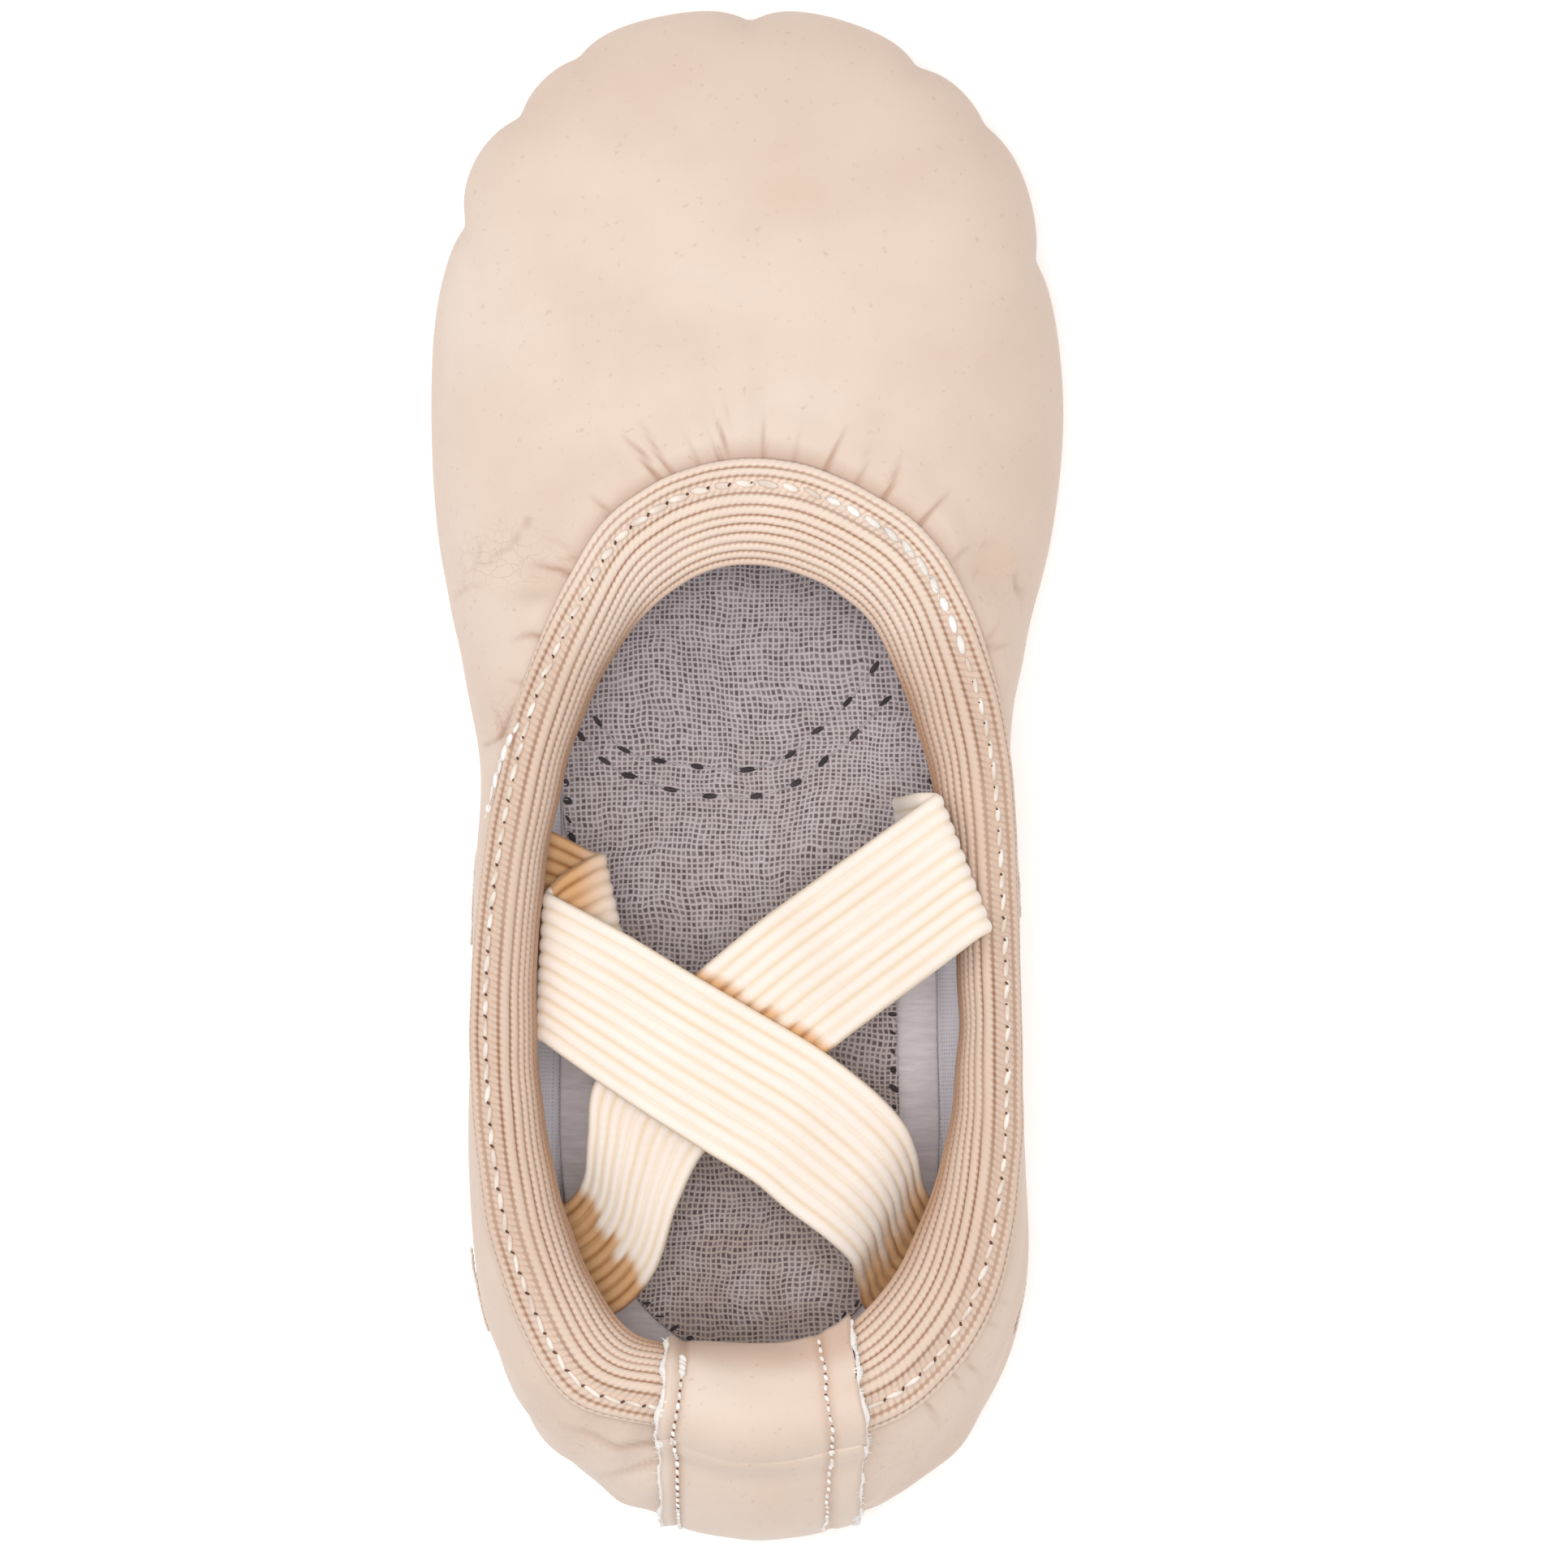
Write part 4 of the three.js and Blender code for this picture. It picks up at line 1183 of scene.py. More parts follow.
SWELLS = (
    Swell(-24.0, 17.0, 5.5, 2.6, 0.9), Swell(-23.5, 11.6, 3.6, 2.0, 0.7),
    Swell(-21.5, 20.0, 4.5, 1.6, -1.0), Swell(-22.5, 24.5, 6.0, 2.6, 0.5),
    Swell(-25.5, 6.0, 3.5, 2.8, -0.7), Swell(-14.0, 31.5, 2.6, 3.2, 0.7),
    Swell(-6.0, 37.5, 1.9, 6.5, 0.42), Swell(-0.4, 38.0, 1.7, 7.5, 0.40),
    Swell(5.2, 37.4, 2.2, 7.0, 0.45), Swell(11.8, 35.0, 1.9, 5.0, 0.45),
    Swell(17.5, 31.0, 1.8, 2.8, 0.5), Swell(21.0, 26.0, 2.2, 3.0, 0.6),
    Swell(26.0, 21.5, 4.0, 3.2, -0.7), Swell(27.0, 12.5, 2.8, 3.2, 0.5),
    Swell(25.5, 17.5, 2.2, 2.4, 0.4), Swell(0.0, 62.0, 22.0, 12.0, 0.6),
)


@dataclass
class Upper:
    """The leather upper with its two linings and the strip over its back seam."""

    last: Last
    columns: int = 24
    tuck: float = 3.2
    leather: float = 1.0
    lining_depth: float = 1.8
    heel_depth: float = 2.6
    strip_left: float = -8.8
    strip_right: float = 12.0
    strip: float = 0.8
    fit: float = 0.3
    collar_top: float = 1.4
    seam_left: float = -7.2
    seam_right: float = 8.7
    girth: float = 428.0
    lining_flat: tuple[float, float] = (0.052, 0.395)
    patch_flat: tuple[float, float] = (0.040, 0.104)

    def build(self) -> None:
        """Builds and dresses every piece of the upper."""
        self.leather_upper()
        self.woven_lining()
        self.heel_lining()
        self.back_strip()
        self.strip_edges()
        self.strip_stitches()

    def _leather_relief(self, u: Array, row: Array, outer: Array,
                        points: Array) -> tuple[Array, Mapping[str, Array]]:
        """Gathers, flex lines, pillows and the roll beside the collar.

        Args:
            u: Places round the shoe.
            row: Rows.
            outer: 1 on the outer face and 0 on the inner one.
            points: The skin's points there.

        Returns:
            The extra height, and the fields that the leather's colour reads: painted shade and the
            wear mask.
        """
        x, y = points[..., 0] / self.last.across, points[..., 1] / self.last.along
        place = self.last.station(u)
        away = np.linalg.norm(points - place.rim, axis=-1)
        upper = smoothstep(row, 1.0, 1.15) * (1 - smoothstep(row, 2.02, 2.12))
        folds = sum(crease.depth_at(x, y) for crease in GATHERS + FLEX_LINES) * upper
        pillows = sum(swell.height_at(x, y) for swell in SWELLS)
        pillows = pillows * upper * smoothstep(away, 0.2, 2.6)
        beside = smoothstep(place.flatness, 0.05, 0.5) * bell(away - 2.4, 1.9) * 0.35 * upper
        drift = ripples(x, y + points[..., 2] * 0.8, 17.0, 4) * 0.16
        heel = smoothstep(-y, 30, 60)
        slack = ripples(x * 2.2, y * 0.9 + points[..., 2], 13.0, 9) * 0.28
        slack = slack * heel * (row > 1) * upper
        height = (pillows + beside + drift + slack) * smoothstep(row, 0.3, 0.7) - 0.6 * folds
        height = height * lerp(0.45, 1.0, outer)
        # Painted shade in the toe's notches.
        notch = np.clip(self.last.pleats(u, row) / 1.4, 0, 1)
        # Painted shade where the wall turns away from the light.
        turning = 1 - np.clip(np.abs(self.last.normal(u, row)[..., 2]), 0, 1)
        rim = 0.55 * smoothstep(turning, 0.45, 1.0) * (row > 0.8)
        # Painted shade beside the collar's edge, where the collar overhangs the leather.
        edge = bell(away, 1.1) * 0.45 * (row <= 2.0) * smoothstep(place.flatness, 0.1, 0.6)
        # Painted shade on the right side, at the toe and in three hollows beside the mouth.
        side = 0.45 * smoothstep(x, 12, 32) + 0.5 * smoothstep(y, 52, 82)
        side = side + 0.5 * (Swell(-21.5, 20.0, 4.5, 1.8, 1.0).height_at(x, y)
                             + Swell(-25.8, 5.6, 3.2, 3.2, 1.1).height_at(x, y)
                             + Swell(26.0, 22.0, 4.0, 4.0, 1.0).height_at(x, y))
        worn = np.maximum(Swell(-26.5, 22.8, 6.0, 3.6, 1.0).height_at(x, y),
                          Swell(-25.8, 5.4, 3.0, 3.0, 1.0).height_at(x, y))
        worn = np.maximum(worn, Swell(27.8, 20.0, 4.0, 4.2, 0.55).height_at(x, y))
        worn = np.maximum(worn, 0.35 * smoothstep(-y, 62, 74) * (row > 1.0))
        # crease and shade carry painted shade; worn marks the real hair-line wear.
        fields = {"crease": np.clip(folds * 1.5 + notch * 0.25 + edge, 0, 0.66),
                  "shade": np.clip(rim + side, 0, 1), "worn": np.clip(worn, 0, 1) * upper}
        return height, fields

    def leather_upper(self) -> Piece:
        """One strip of leather: turned under the foot, up over the toe, tucked in the collar."""
        collar = self.last.collar_width
        end = 2 + self.tuck / collar
        outer = np.concatenate([np.linspace(0, 0.3, 4), np.linspace(0.34, 1, 15)[:-1],
                                1 + np.linspace(0, 1, 45)[:-1] ** 0.92, np.linspace(2, end, 5)])
        inner = np.array([end, 2.12, 2.0, 1.85, 1.65, 1.45, 1.25, 1.1, 1.0, 0.9, 0.8, 0.68, 0.55,
                          0.42, 0.3, 0.15, 0.0])
        profile = Profile.of_layer(outer, np.zeros_like(outer), inner,
                                   np.full_like(inner, -self.leather), 50.0)
        stations = len(STATIONS)
        half = self.last.slit / 2 / self.girth
        places = np.concatenate([[half], np.arange(1, stations * self.columns) / stations
                                 / self.columns, [1 - half]])
        piece = skin_piece(self.last, "glove_leather_upper", places, profile, False,
                           self._leather_relief)
        return settle(piece, LEATHER, bends=flex(), stands_for=("upper_leather",))

    def woven_lining(self) -> Piece:
        """The lilac-white cloth inside the leather, from the sole's turn to under the collar."""
        outer = np.concatenate([np.linspace(0.27, 1, 14), np.linspace(1.06, 2.145, 18)])
        inner = outer[::-1]
        profile = Profile.of_layer(outer, np.full_like(outer, -self.leather - self.fit), inner,
                                   np.full_like(inner, -self.lining_depth), 30.0)
        columns = len(STATIONS) * 10
        piece = skin_piece(self.last, "woven_lining", np.arange(columns) / columns, profile, True,
                           self._cloth_relief)
        return settle(piece, LINING, bends=flex(), stands_for=("upper_lining",))

    def _cloth_relief(self, u: Array, row: Array, outer: Array,
                      points: Array) -> tuple[Array, Mapping[str, Array]]:
        """Slight slack in a lining, as a relief of a skin piece."""
        wave = ripples(points[..., 0] + points[..., 2], points[..., 1], 9.0, 21) * 0.12
        return wave * (1 - outer * 0.6), {}

    def heel_lining(self) -> Piece:
        """The beige cloth that covers the back inside the heel."""
        outer = np.linspace(0.68, 1.95, 22)
        profile = Profile.of_layer(outer, np.full_like(outer, -self.lining_depth - self.fit),
                                   outer[::-1], np.full_like(outer, -self.heel_depth), 38.0)
        places = np.linspace(-3.9, 3.9, 110) / len(STATIONS)
        piece = skin_piece(self.last, "heel_patch_lining", places, profile, False,
                           self._cloth_relief)
        return settle(piece, HEEL_LINING, stands_for=("heel_lining",))

    # The strip over the back seam

    def place_at_x(self, x: Array, row: Array) -> Array:
        """Searches the heel for an x.

        Args:
            x: The x that is wanted.
            row: The rows on which it is wanted.

        Returns:
            The places round the shoe.
        """
        low, high = np.full_like(x, -0.09), np.full_like(x, 0.09)
        for _ in range(26):
            middle = (low + high) / 2
            beyond = self.last.point(middle, row)[..., 0] > x
            low, high = np.where(beyond, middle, low), np.where(beyond, high, middle)
        return (low + high) / 2

    def strip_edge(self, x: Array, row: Array) -> Array:
        """Makes the strip a little crooked: its raw edges wander towards the sole.

        Args:
            x: Where a straight strip would be.
            row: Rows.

        Returns:
            Where it is.
        """
        down = smoothstep(2.2 - row, 0.2, 1.3)
        wander = 0.12 * np.sin(row * 17.0 + np.sign(x)) + 0.07 * np.sin(row * 41.0 + 2 * x)
        leaning = 0.3 * smoothstep(-x, 1.0, 7.0) - 0.9 * smoothstep(x, 1.0, 9.0)
        return x + wander * smoothstep(np.abs(x), 7.5, 9.0) + leaning * down

    def strip_height(self, row: Array) -> Array:
        """The strip's underside climbs from the leather over the collar."""
        return lerp(self.fit, self.collar_top + 2 * self.fit, smoothstep(row, 1.86, 1.95))

    def back_strip(self) -> Piece:
        """The leather strip over the back seam, folded over the collar, with raw cut edges."""
        rows = np.concatenate([np.linspace(0.72, 1.8, 30), np.linspace(1.82, 3.0, 34)])
        across = 34
        profile_rows = np.concatenate([rows, rows[::-1]])
        top = np.concatenate([np.ones(len(rows)), np.zeros(len(rows))])
        count = len(profile_rows)

        def shape(i: Array, j: Array) -> Surface:
            """Places the strip's vertices, with a swelling between its stitch rows."""
            j = j % count
            row, face, t = profile_rows[j], top[j], i / across
            x = self.strip_edge(lerp(self.strip_left, self.strip_right, t), row)
            u = self.place_at_x(x * self.last.across, row)
            seams = bell(x - self.seam_left, 0.55) + bell(x - self.seam_right, 0.55)
            puff = 0.35 * np.clip(1 - ((x - 0.7) / 7.0) ** 2, 0, 1) - 0.28 * seams
            curl = 0.25 * smoothstep(np.abs(x - 1.6), 9.3, 10.4)
            bend = ripples(x, row * 24, 9.0, 31) * 0.12
            relief = (puff + curl + bend) * lerp(0.35, 1.0, face)
            height = self.strip_height(row) + face * self.strip + relief
            edge = np.clip(bell(t, 0.03) + bell(1 - t, 0.03), 0, 1)
            fold = smoothstep(row, 2.55, 2.8)
            # Painted shade in the stitch grooves and where the strip folds over the collar; worn
            # marks its raw edges.
            fields = {"crease": np.clip(0.35 * seams + 0.25 * fold, 0, 0.6),
                      "shade": np.clip(0.5 * fold + 0.15 * seams, 0, 1), "worn": 0.25 * edge}
            return Surface(self.last.skin(u, row, height), np.stack([x, row * 30], -1), fields)

        piece = grid_piece("heel_back_strip", across, count, shape)
        return settle(piece, LEATHER, stands_for=("heel_strip",))

    def _strip_line(self, x: float, rows: Array, lift: float) -> tuple[Array, Array]:
        """A line down the strip.

        Args:
            x: Where it would be on a straight strip.
            rows: Its rows.
            lift: Its height over the strip.

        Returns:
            The line's points and normals.
        """
        across = self.strip_edge(np.full_like(rows, x), rows)
        u = self.place_at_x(across * self.last.across, rows)
        height = self.strip_height(rows) + self.strip + lift
        return self.last.skin(u, rows, height), self.last.normal(u, rows)

    def strip_edges(self) -> None:
        """White, slightly furry flesh side of the leather at the strip's two cut edges."""
        draw = np.random.default_rng(11)
        for name, x, side in (("raw_edge_left", self.strip_left, -1),
                              ("raw_edge_right", self.strip_right, 1)):
            rows = np.linspace(0.74, 2.97, 190)
            line, normal = self._strip_line(x + side * 0.02, rows, -0.30)
            girth = 0.34 + 0.12 * np.sin(rows * 23) + draw.normal(0, 0.05, len(rows))
            piece = tube_piece(name, line, normal, np.clip(girth, 0.18, 0.6), 10, flatten=1.25)
            settle(piece, RAW_EDGE)
            tufts = [(line[k] + normal[k] * 0.1, np.array([side * draw.uniform(0.4, 1.0),
                                                           draw.normal(0, 0.7), 0.2]))
                     for k in draw.integers(6, 184, 110)]
            settle(fibres(name + "_fibres", tufts, draw), RAW_EDGE)

    def strip_stitches(self) -> None:
        """The strip's two rows of close stitches, with the knot at the left row's top."""
        pitch = 1.15
        for name, x, top in (("strip_stitches_left", self.seam_left, 2.62),
                             ("strip_stitches_right", self.seam_right, 2.95)):
            rows = np.linspace(0.78, top, 400)
            line, normal = self._strip_line(x, rows, -0.05)
            piece = stitch_row(name, line, normal, pitch, length=0.82, width=0.42, thick=0.36,
                               tilt=14.0)
            node_name = "heel_strip_stitch_" + name.rsplit("_", 1)[1]
            settle(piece, WHITE_THREAD, stands_for=(node_name,))
            # Painted shade: a dark bead in each needle hole.
            holes = stitch_row(name + "_holes", line - normal * 0.12, normal, pitch, length=0.3,
                               width=0.3, thick=0.2, tilt=0.0, start=0.5)
            settle(holes, NEEDLE_HOLE_SHADE)
        line, normal = self._strip_line(self.seam_left, np.linspace(2.5, 2.66, 12), 0.15)
        knot = stitch_row("strip_thread_knot", line, normal, 0.6, length=1.2, width=0.75,
                          thick=0.6, tilt=35.0)
        settle(knot, WHITE_THREAD)


# ---- Threads


def tube_piece(name: str, line: Array, normal: Array, radius: Array, sides: int,
               flatten: float = 1.0) -> Piece:
    """A closed tube along a line.

    Args:
        name: The piece's name.
        line: Points along it, in millimetres.
        normal: The surface normal at each point.
        radius: Its radius at each point.
        sides: Faces round it.
        flatten: How much wider than high it is.

    Returns:
        The object.
    """
    along = unit(np.gradient(line, axis=0))
    side = unit(np.cross(along, normal))
    up = np.cross(side, along)
    count = len(line)
    ends = np.sqrt(np.clip(np.minimum(np.arange(count), np.arange(count)[::-1]) / 2.0, 0, 1))

    def shape(i: Array, j: Array) -> Surface:
        """Places rings of vertices along the line."""
        angle = 2 * math.pi * (j % sides) / sides
        size = (radius * ends)[i]
        ring = side[i] * (np.cos(angle) * size * flatten)[:, None]
        ring = ring + up[i] * (np.sin(angle) * size)[:, None]
        return Surface(line[i] + ring, np.stack([i * 0.4, angle], -1))

    return grid_piece(name, count - 1, sides, shape)


def stitch_row(name: str, line: Array, normal: Array, pitch: float, length: float, width: float,
               thick: float, tilt: float, start: float = 0.0, jitter: float = 0.06,
               seed: int = 3) -> Piece:
    """A row of separate stitches along a line.

    Args:
        name: The piece's name.
        line: Close points along it, in millimetres.
        normal: The surface normal at each point.
        pitch: Distance from one stitch to the next.
        length: A stitch's own length.
        width: Its width.
        thick: Its thickness.
        tilt: How far it turns from the line, in degrees.
        start: Where the first one is, in pitches.
        jitter: Share by which each one differs.
        seed: Picks the differences.

    Returns:
        One object with every stitch.
    """
    run = np.concatenate([[0], np.cumsum(np.linalg.norm(np.diff(line, axis=0), axis=1))])
    count = max(int(run[-1] // pitch), 1)
    even = run[-1] / count
    draw = np.random.default_rng(seed)
    bm = bmesh.new()
    for k in range(count):
        at = (k + 0.5 + start) * even
        if at > run[-1]:
            break
        centre = np.array([np.interp(at, run, line[:, axis]) for axis in range(3)])
        ahead = np.array([np.interp(at + 0.3, run, line[:, axis]) for axis in range(3)])
        behind = np.array([np.interp(at - 0.3, run, line[:, axis]) for axis in range(3)])
        up = unit(np.array([np.interp(at, run, normal[:, axis]) for axis in range(3)]))
        along = unit(ahead - behind)
        side = unit(np.cross(up, along))
        along = np.cross(side, up)
        turn = math.radians(tilt + draw.normal(0, 60 * jitter))
        run_way = along * math.cos(turn) + side * math.sin(turn)
        side_way = side * math.cos(turn) - along * math.sin(turn)
        size = 1 + draw.normal(0, jitter, 3)
        columns = (run_way * length * size[0], side_way * width * size[1], up * thick * size[2])
        matrix = Matrix.Identity(4)
        for index, column in enumerate(columns):
            matrix.col[index] = Vector((*(column * MM), 0.0))
        matrix.col[3] = Vector((*((centre + up * draw.normal(0, 0.02)) * MM), 1.0))
        bmesh.ops.create_uvsphere(bm, u_segments=8, v_segments=6, radius=0.5, matrix=matrix)
    bmesh.ops.recalc_face_normals(bm, faces=bm.faces)
    return finished_object(name, bm)


def fibres(name: str, tufts: Iterable[tuple[Array, Array]], draw: np.random.Generator) -> Piece:
    """Short loose fibres, each a thin cone.

    Args:
        name: The piece's name.
        tufts: Each fibre's root and direction, in millimetres.
        draw: Gives their lengths.

    Returns:
        One object with every fibre.
    """
    bm = bmesh.new()
    for root, way in tufts:
        reach = unit(way) * draw.uniform(0.35, 0.95)
        turn = Vector(reach).to_track_quat("Z", "Y").to_matrix().to_4x4()
        middle = Matrix.Translation(Vector((root + reach / 2) * MM))
        bmesh.ops.create_cone(bm, cap_ends=True, segments=5, radius1=0.09 * MM, radius2=0.02 * MM,
                              depth=float(np.linalg.norm(reach)) * MM, matrix=middle @ turn)
    bmesh.ops.recalc_face_normals(bm, faces=bm.faces)
    return finished_object(name, bm)


# ---- The collar


@dataclass
class Collar:
    """The rolled elastic collar, its lockstitch row and the loose thread ends."""

    last: Last
    top: float = 1.4
    bottom: float = 0.3
    seam: float = 2.65
    rib_height: float = 0.42
    columns: int = 22
    pitch: float = 2.3

    # Rib edges across the collar: two ribs, the stitch groove, then the rolled ribs.
    ribs: tuple[float, ...] = (0.0, 1.0, 1.85, 3.6, 4.75, 5.75, 6.6, 7.5, 8.5, 9.4, 10.2, 11.0)

    def build(self) -> None:
        """Builds and dresses every piece of the collar."""
        self.band()
        self.stitches()
        self.thread_ends()

    def rib_relief(self, distance: Array) -> Array:
        """The ribs' profile; the stitch groove has none.

        Args:
            distance: Distance across the collar.

        Returns:
            0 in a valley and 1 on a rib's back.
        """
        edges = np.array(self.ribs)
        rib = np.clip(np.searchsorted(edges, distance, side="right") - 1, 0, len(edges) - 2)
        t = (distance - edges[rib]) / (edges[rib + 1] - edges[rib])
        round_back = np.sqrt(np.clip(1 - (2 * t - 1) ** 2, 0, 1))
        return np.clip(lerp(round_back, 0.8, bell(distance - self.seam, 0.7)), 0, 1)

    def heights(self, distance: Array) -> Array:
        """The collar's outer face.

        Args:
            distance: Distance across the collar.

        Returns:
            Heights over the leather.
        """
        groove = 0.5 * np.exp(-((distance - self.seam) / 0.7) ** 4)
        step = 0.22 * smoothstep(distance, 3.1, 3.6)
        edge = 0.25 * bell(distance, 0.5)
        base = self.top - self.rib_height * 0.55 - groove + step - edge
        return base + self.rib_height * self.rib_relief(distance)

    def band(self) -> Piece:
        """The ribbed band itself, swept round the mouth."""
        edges = np.array(self.ribs)
        across = np.unique(np.concatenate([np.linspace(a, b, 9) for a, b in zip(edges, edges[1:])]))
        width = self.last.collar_width
        inner = np.linspace(width, 0.0, 13)
        rows, inner_rows = 2 + across / width, 2 + inner / width
        profile = Profile.of_layer(rows, self.heights(across), inner_rows,
                                   np.full_like(inner, self.bottom), width)
        places = self.last.even_places(len(STATIONS) * self.columns, 2.3)

        def relief(u: Array, row: Array, outer: Array,
                   points: Array) -> tuple[Array, Mapping[str, Array]]:
            """Slight waves in the ribs, and the fields for the weave's colours: painted shade where
            the band rolls into the mouth and on its sides.
            """
            distance = (row - 2) * width
            relief_at = self.rib_relief(distance) * outer
            wave = ripples(points[..., 0] * 2, points[..., 1] * 2, 15.0, 5) * 0.07
            place = self.last.station(u)
            steep = 1 - place.curl
            # Painted shade on the part of the band that rolls into the mouth.
            turned = 0.85 * smoothstep(distance, lerp(8.8, 6.2, steep), lerp(14.0, 9.5, steep))
            side = 1 - smoothstep(place.rim[..., 1], 8.0, 26.0)
            outer_shade = 0.34 * side * lerp(1.0, 0.5, smoothstep(-place.rim[..., 1], 50.0, 68.0))
            fields = {"relief": np.where(outer > 0.5, relief_at, 0.3),
                      "turned": np.clip(turned + outer_shade, 0, 1)}
            return wave * outer, fields

        piece = skin_piece(self.last, "collar_band", places, profile, True, relief)
        round(self.last.mouth_length() * MM, 4)
        return settle(piece, COLLAR_ELASTIC, bends=flex(), stands_for=("collar_elastic",))

    def _seam_line(self, distance: float, lift: float, start: float = 0.0,
                   stop: float = 1.0) -> tuple[Array, Array]:
        """A line round the collar's outer face.

        Args:
            distance: Its distance across the collar.
            lift: Its height over the face.
            start: Its first place round the shoe.
            stop: Its last one.

        Returns:
            The line's points and normals.
        """
        row = 2 + distance / self.last.collar_width
        u = np.linspace(start, stop, 2400)
        rows = np.full_like(u, row)
        height = float(self.heights(np.array([distance]))[0]) + lift
        return self.last.skin(u, rows, np.full_like(u, height)), self.last.normal(u, rows)

    def stitches(self) -> None:
        """Plump, slightly slanting lockstitches, with a dark bead of painted shade for the needle
        hole between each pair.
        """
        for name, thread, start, stop, width, cad in (
                ("collar_lockstitches", CREAM_THREAD, 0.33, 0.58, 0.82, ("collar_stitching",)),
                ("collar_lockstitches_left", CREAM_THREAD, 0.028, 0.33, 0.55, ()),
                ("collar_lockstitches_white", WHITE_THREAD, 0.58, 0.705, 0.82, ()),
                ("collar_lockstitches_right", CREAM_THREAD, 0.705, 0.985, 0.55, ())):
            line, normal = self._seam_line(self.seam, 0.26, start, stop)
            piece = stitch_row(name, line, normal, self.pitch, length=2.2, width=width,
                               thick=0.55, tilt=-9.0, jitter=0.07)
            settle(piece, thread, bends=flex(), stands_for=cad)
        line, normal = self._seam_line(self.seam, 0.3, 0.028, 0.985)
        # Painted shade: a dark bead in each needle hole.
        holes = stitch_row("collar_needle_hole_shadows", line, normal, self.pitch, length=0.62, width=0.3,
                           thick=0.3, tilt=40.0, start=0.5)
        settle(holes, NEEDLE_HOLE_SHADE, bends=flex())

    def thread_ends(self) -> None:
        """Frayed white ends where the seam was started and finished."""
        draw = np.random.default_rng(5)
        u = np.linspace(0.268, 0.236, 30)
        row = 2 + lerp(2.3, 0.3, np.linspace(0, 1, 30)) / self.last.collar_width
        line = self.last.skin(u, row, np.full_like(u, 1.75))
        line[:, 2] += 0.25 * np.sin(np.linspace(0, 9, 30))
        normal = self.last.normal(u, row)
        piece = stitch_row("frayed_thread_end", line, normal, 1.5, length=2.0, width=0.55,
                           thick=0.5, tilt=20.0, jitter=0.2, seed=8)
        settle(piece, WHITE_THREAD, bends=flex())
        tufts = [(line[k], draw.normal(0, 1, 3) + np.array([-0.6, -1.2, 0.4]))
                 for k in draw.integers(12, 30, 26)]
        settle(fibres("frayed_thread_fibres", tufts, draw), WHITE_THREAD, bends=flex())
        line, normal = self._seam_line(self.seam, 0.35, 0.58, 0.69)
        tufts = [(line[k], np.gradient(line, axis=0)[k] * 40 + draw.normal(0, 0.35, 3))
                 for k in draw.integers(0, len(line), 60)]
        settle(fibres("collar_frayed_fibres", tufts, draw), WHITE_THREAD, bends=flex())


# ---- The straps


@dataclass(frozen=True)
class SewnEnd:
    """Where a strap end is sewn in: its side, its toe and heel edges, its top and bottom, and
    what lies between it and the leather."""

    side: Side
    toe: float
    heel: float
    top: float
    bottom: float
    depth: float


@dataclass(frozen=True)
class Tan:
    """A tan part of a strap, to the left of a line in plan, within a stretch of its length."""

    line: tuple[tuple[float, float], tuple[float, float]]
    stretch: tuple[float, float]
    fade: float
    wide: float = 40.0
    jagged: float = 0.4

    def share_at(self, x: Array, y: Array, along: Array, jag: Array) -> Array:
        """How tan plan places are, from 0 to 1.

        Args:
            x: Plan places in millimetres.
            y: Plan places in millimetres.
            along: Places along the strap, from 0 to 1.
            jag: How far each rib runs over or under the line, from -1 to 1.

        Returns:
            The share of the tan colour.
        """
        (ax, ay), (bx, by) = self.line
        length = math.hypot(bx - ax, by - ay)
        beyond = ((bx - ax) * (y - ay) - (by - ay) * (x - ax)) / length + jag * self.jagged
        inside = (along > self.stretch[0]) & (along < self.stretch[1])
        start = smoothstep(beyond, 0.0, self.fade)
        return start * (1 - smoothstep(beyond, self.wide, self.wide + 2.0)) * inside


# Strap stations: centre x, y, drop below the side's top edge, the bearing of its width, and the
# share of its width where it is gathered.
OVER_RUN = (
    (-25.0, -13.6, 8.9, -1, 1.0), (-21.6, -13.8, 8.9, 1, 1.0), (-15.2, -16.0, 8.6, 12, 1.0),
    (-14.0, -16.3, 7.5, 12, 1.0), (-15.2, -16.8, 6.4, 12, 1.0), (-19.6, -19.0, 5.1, 3, 1.0),
    (-21.6, -20.6, 3.9, -3, 1.0), (-20.8, -21.2, 2.4, -4, 1.0), (-14.8, -24.8, 0.8, -13, 1.0),
    (-8.5, -28.8, -0.3, -18, 1.0), (-1.9, -32.8, -0.7, -23, 1.0), (4.3, -36.6, -0.4, -29, 1.0),
    (8.8, -40.2, 0.8, -36, 1.0), (12.6, -43.6, 2.2, -33, 0.95), (14.6, -46.4, 4.0, -29, 0.89),
    (15.4, -49.6, 6.6, -31, 0.83), (17.2, -52.4, 9.2, -30, 0.87),
)
UNDER_RUN = (
    (24.4, -10.8, 8.9, 2, 1.0), (20.8, -10.6, 8.7, 7, 1.0), (17.9, -10.4, 7.8, 8, 1.0),
    (17.1, -10.4, 6.2, 8, 1.0), (17.5, -10.4, 3.4, 8, 1.0), (18.4, -10.2, -0.8, 9, 1.0),
    (20.3, -9.8, -3.7, 14, 1.0), (22.9, -9.6, -5.2, 21, 1.0), (21.8, -10.4, -6.5, 19, 1.0),
    (16.8, -14.1, -4.7, 22, 1.0), (10.8, -18.5, -1.9, 25, 1.0), (5.1, -22.8, 0.7, 29, 1.0),
    (-0.8, -27.8, 1.7, 33, 1.0), (-6.2, -32.4, 2.2, 44, 0.97), (-10.4, -36.9, 3.0, 57, 0.88),
    (-12.2, -42.6, 4.4, 52, 0.77), (-13.7, -48.6, 6.8, 37, 0.80), (-17.2, -52.4, 9.6, 25, 0.83),
)
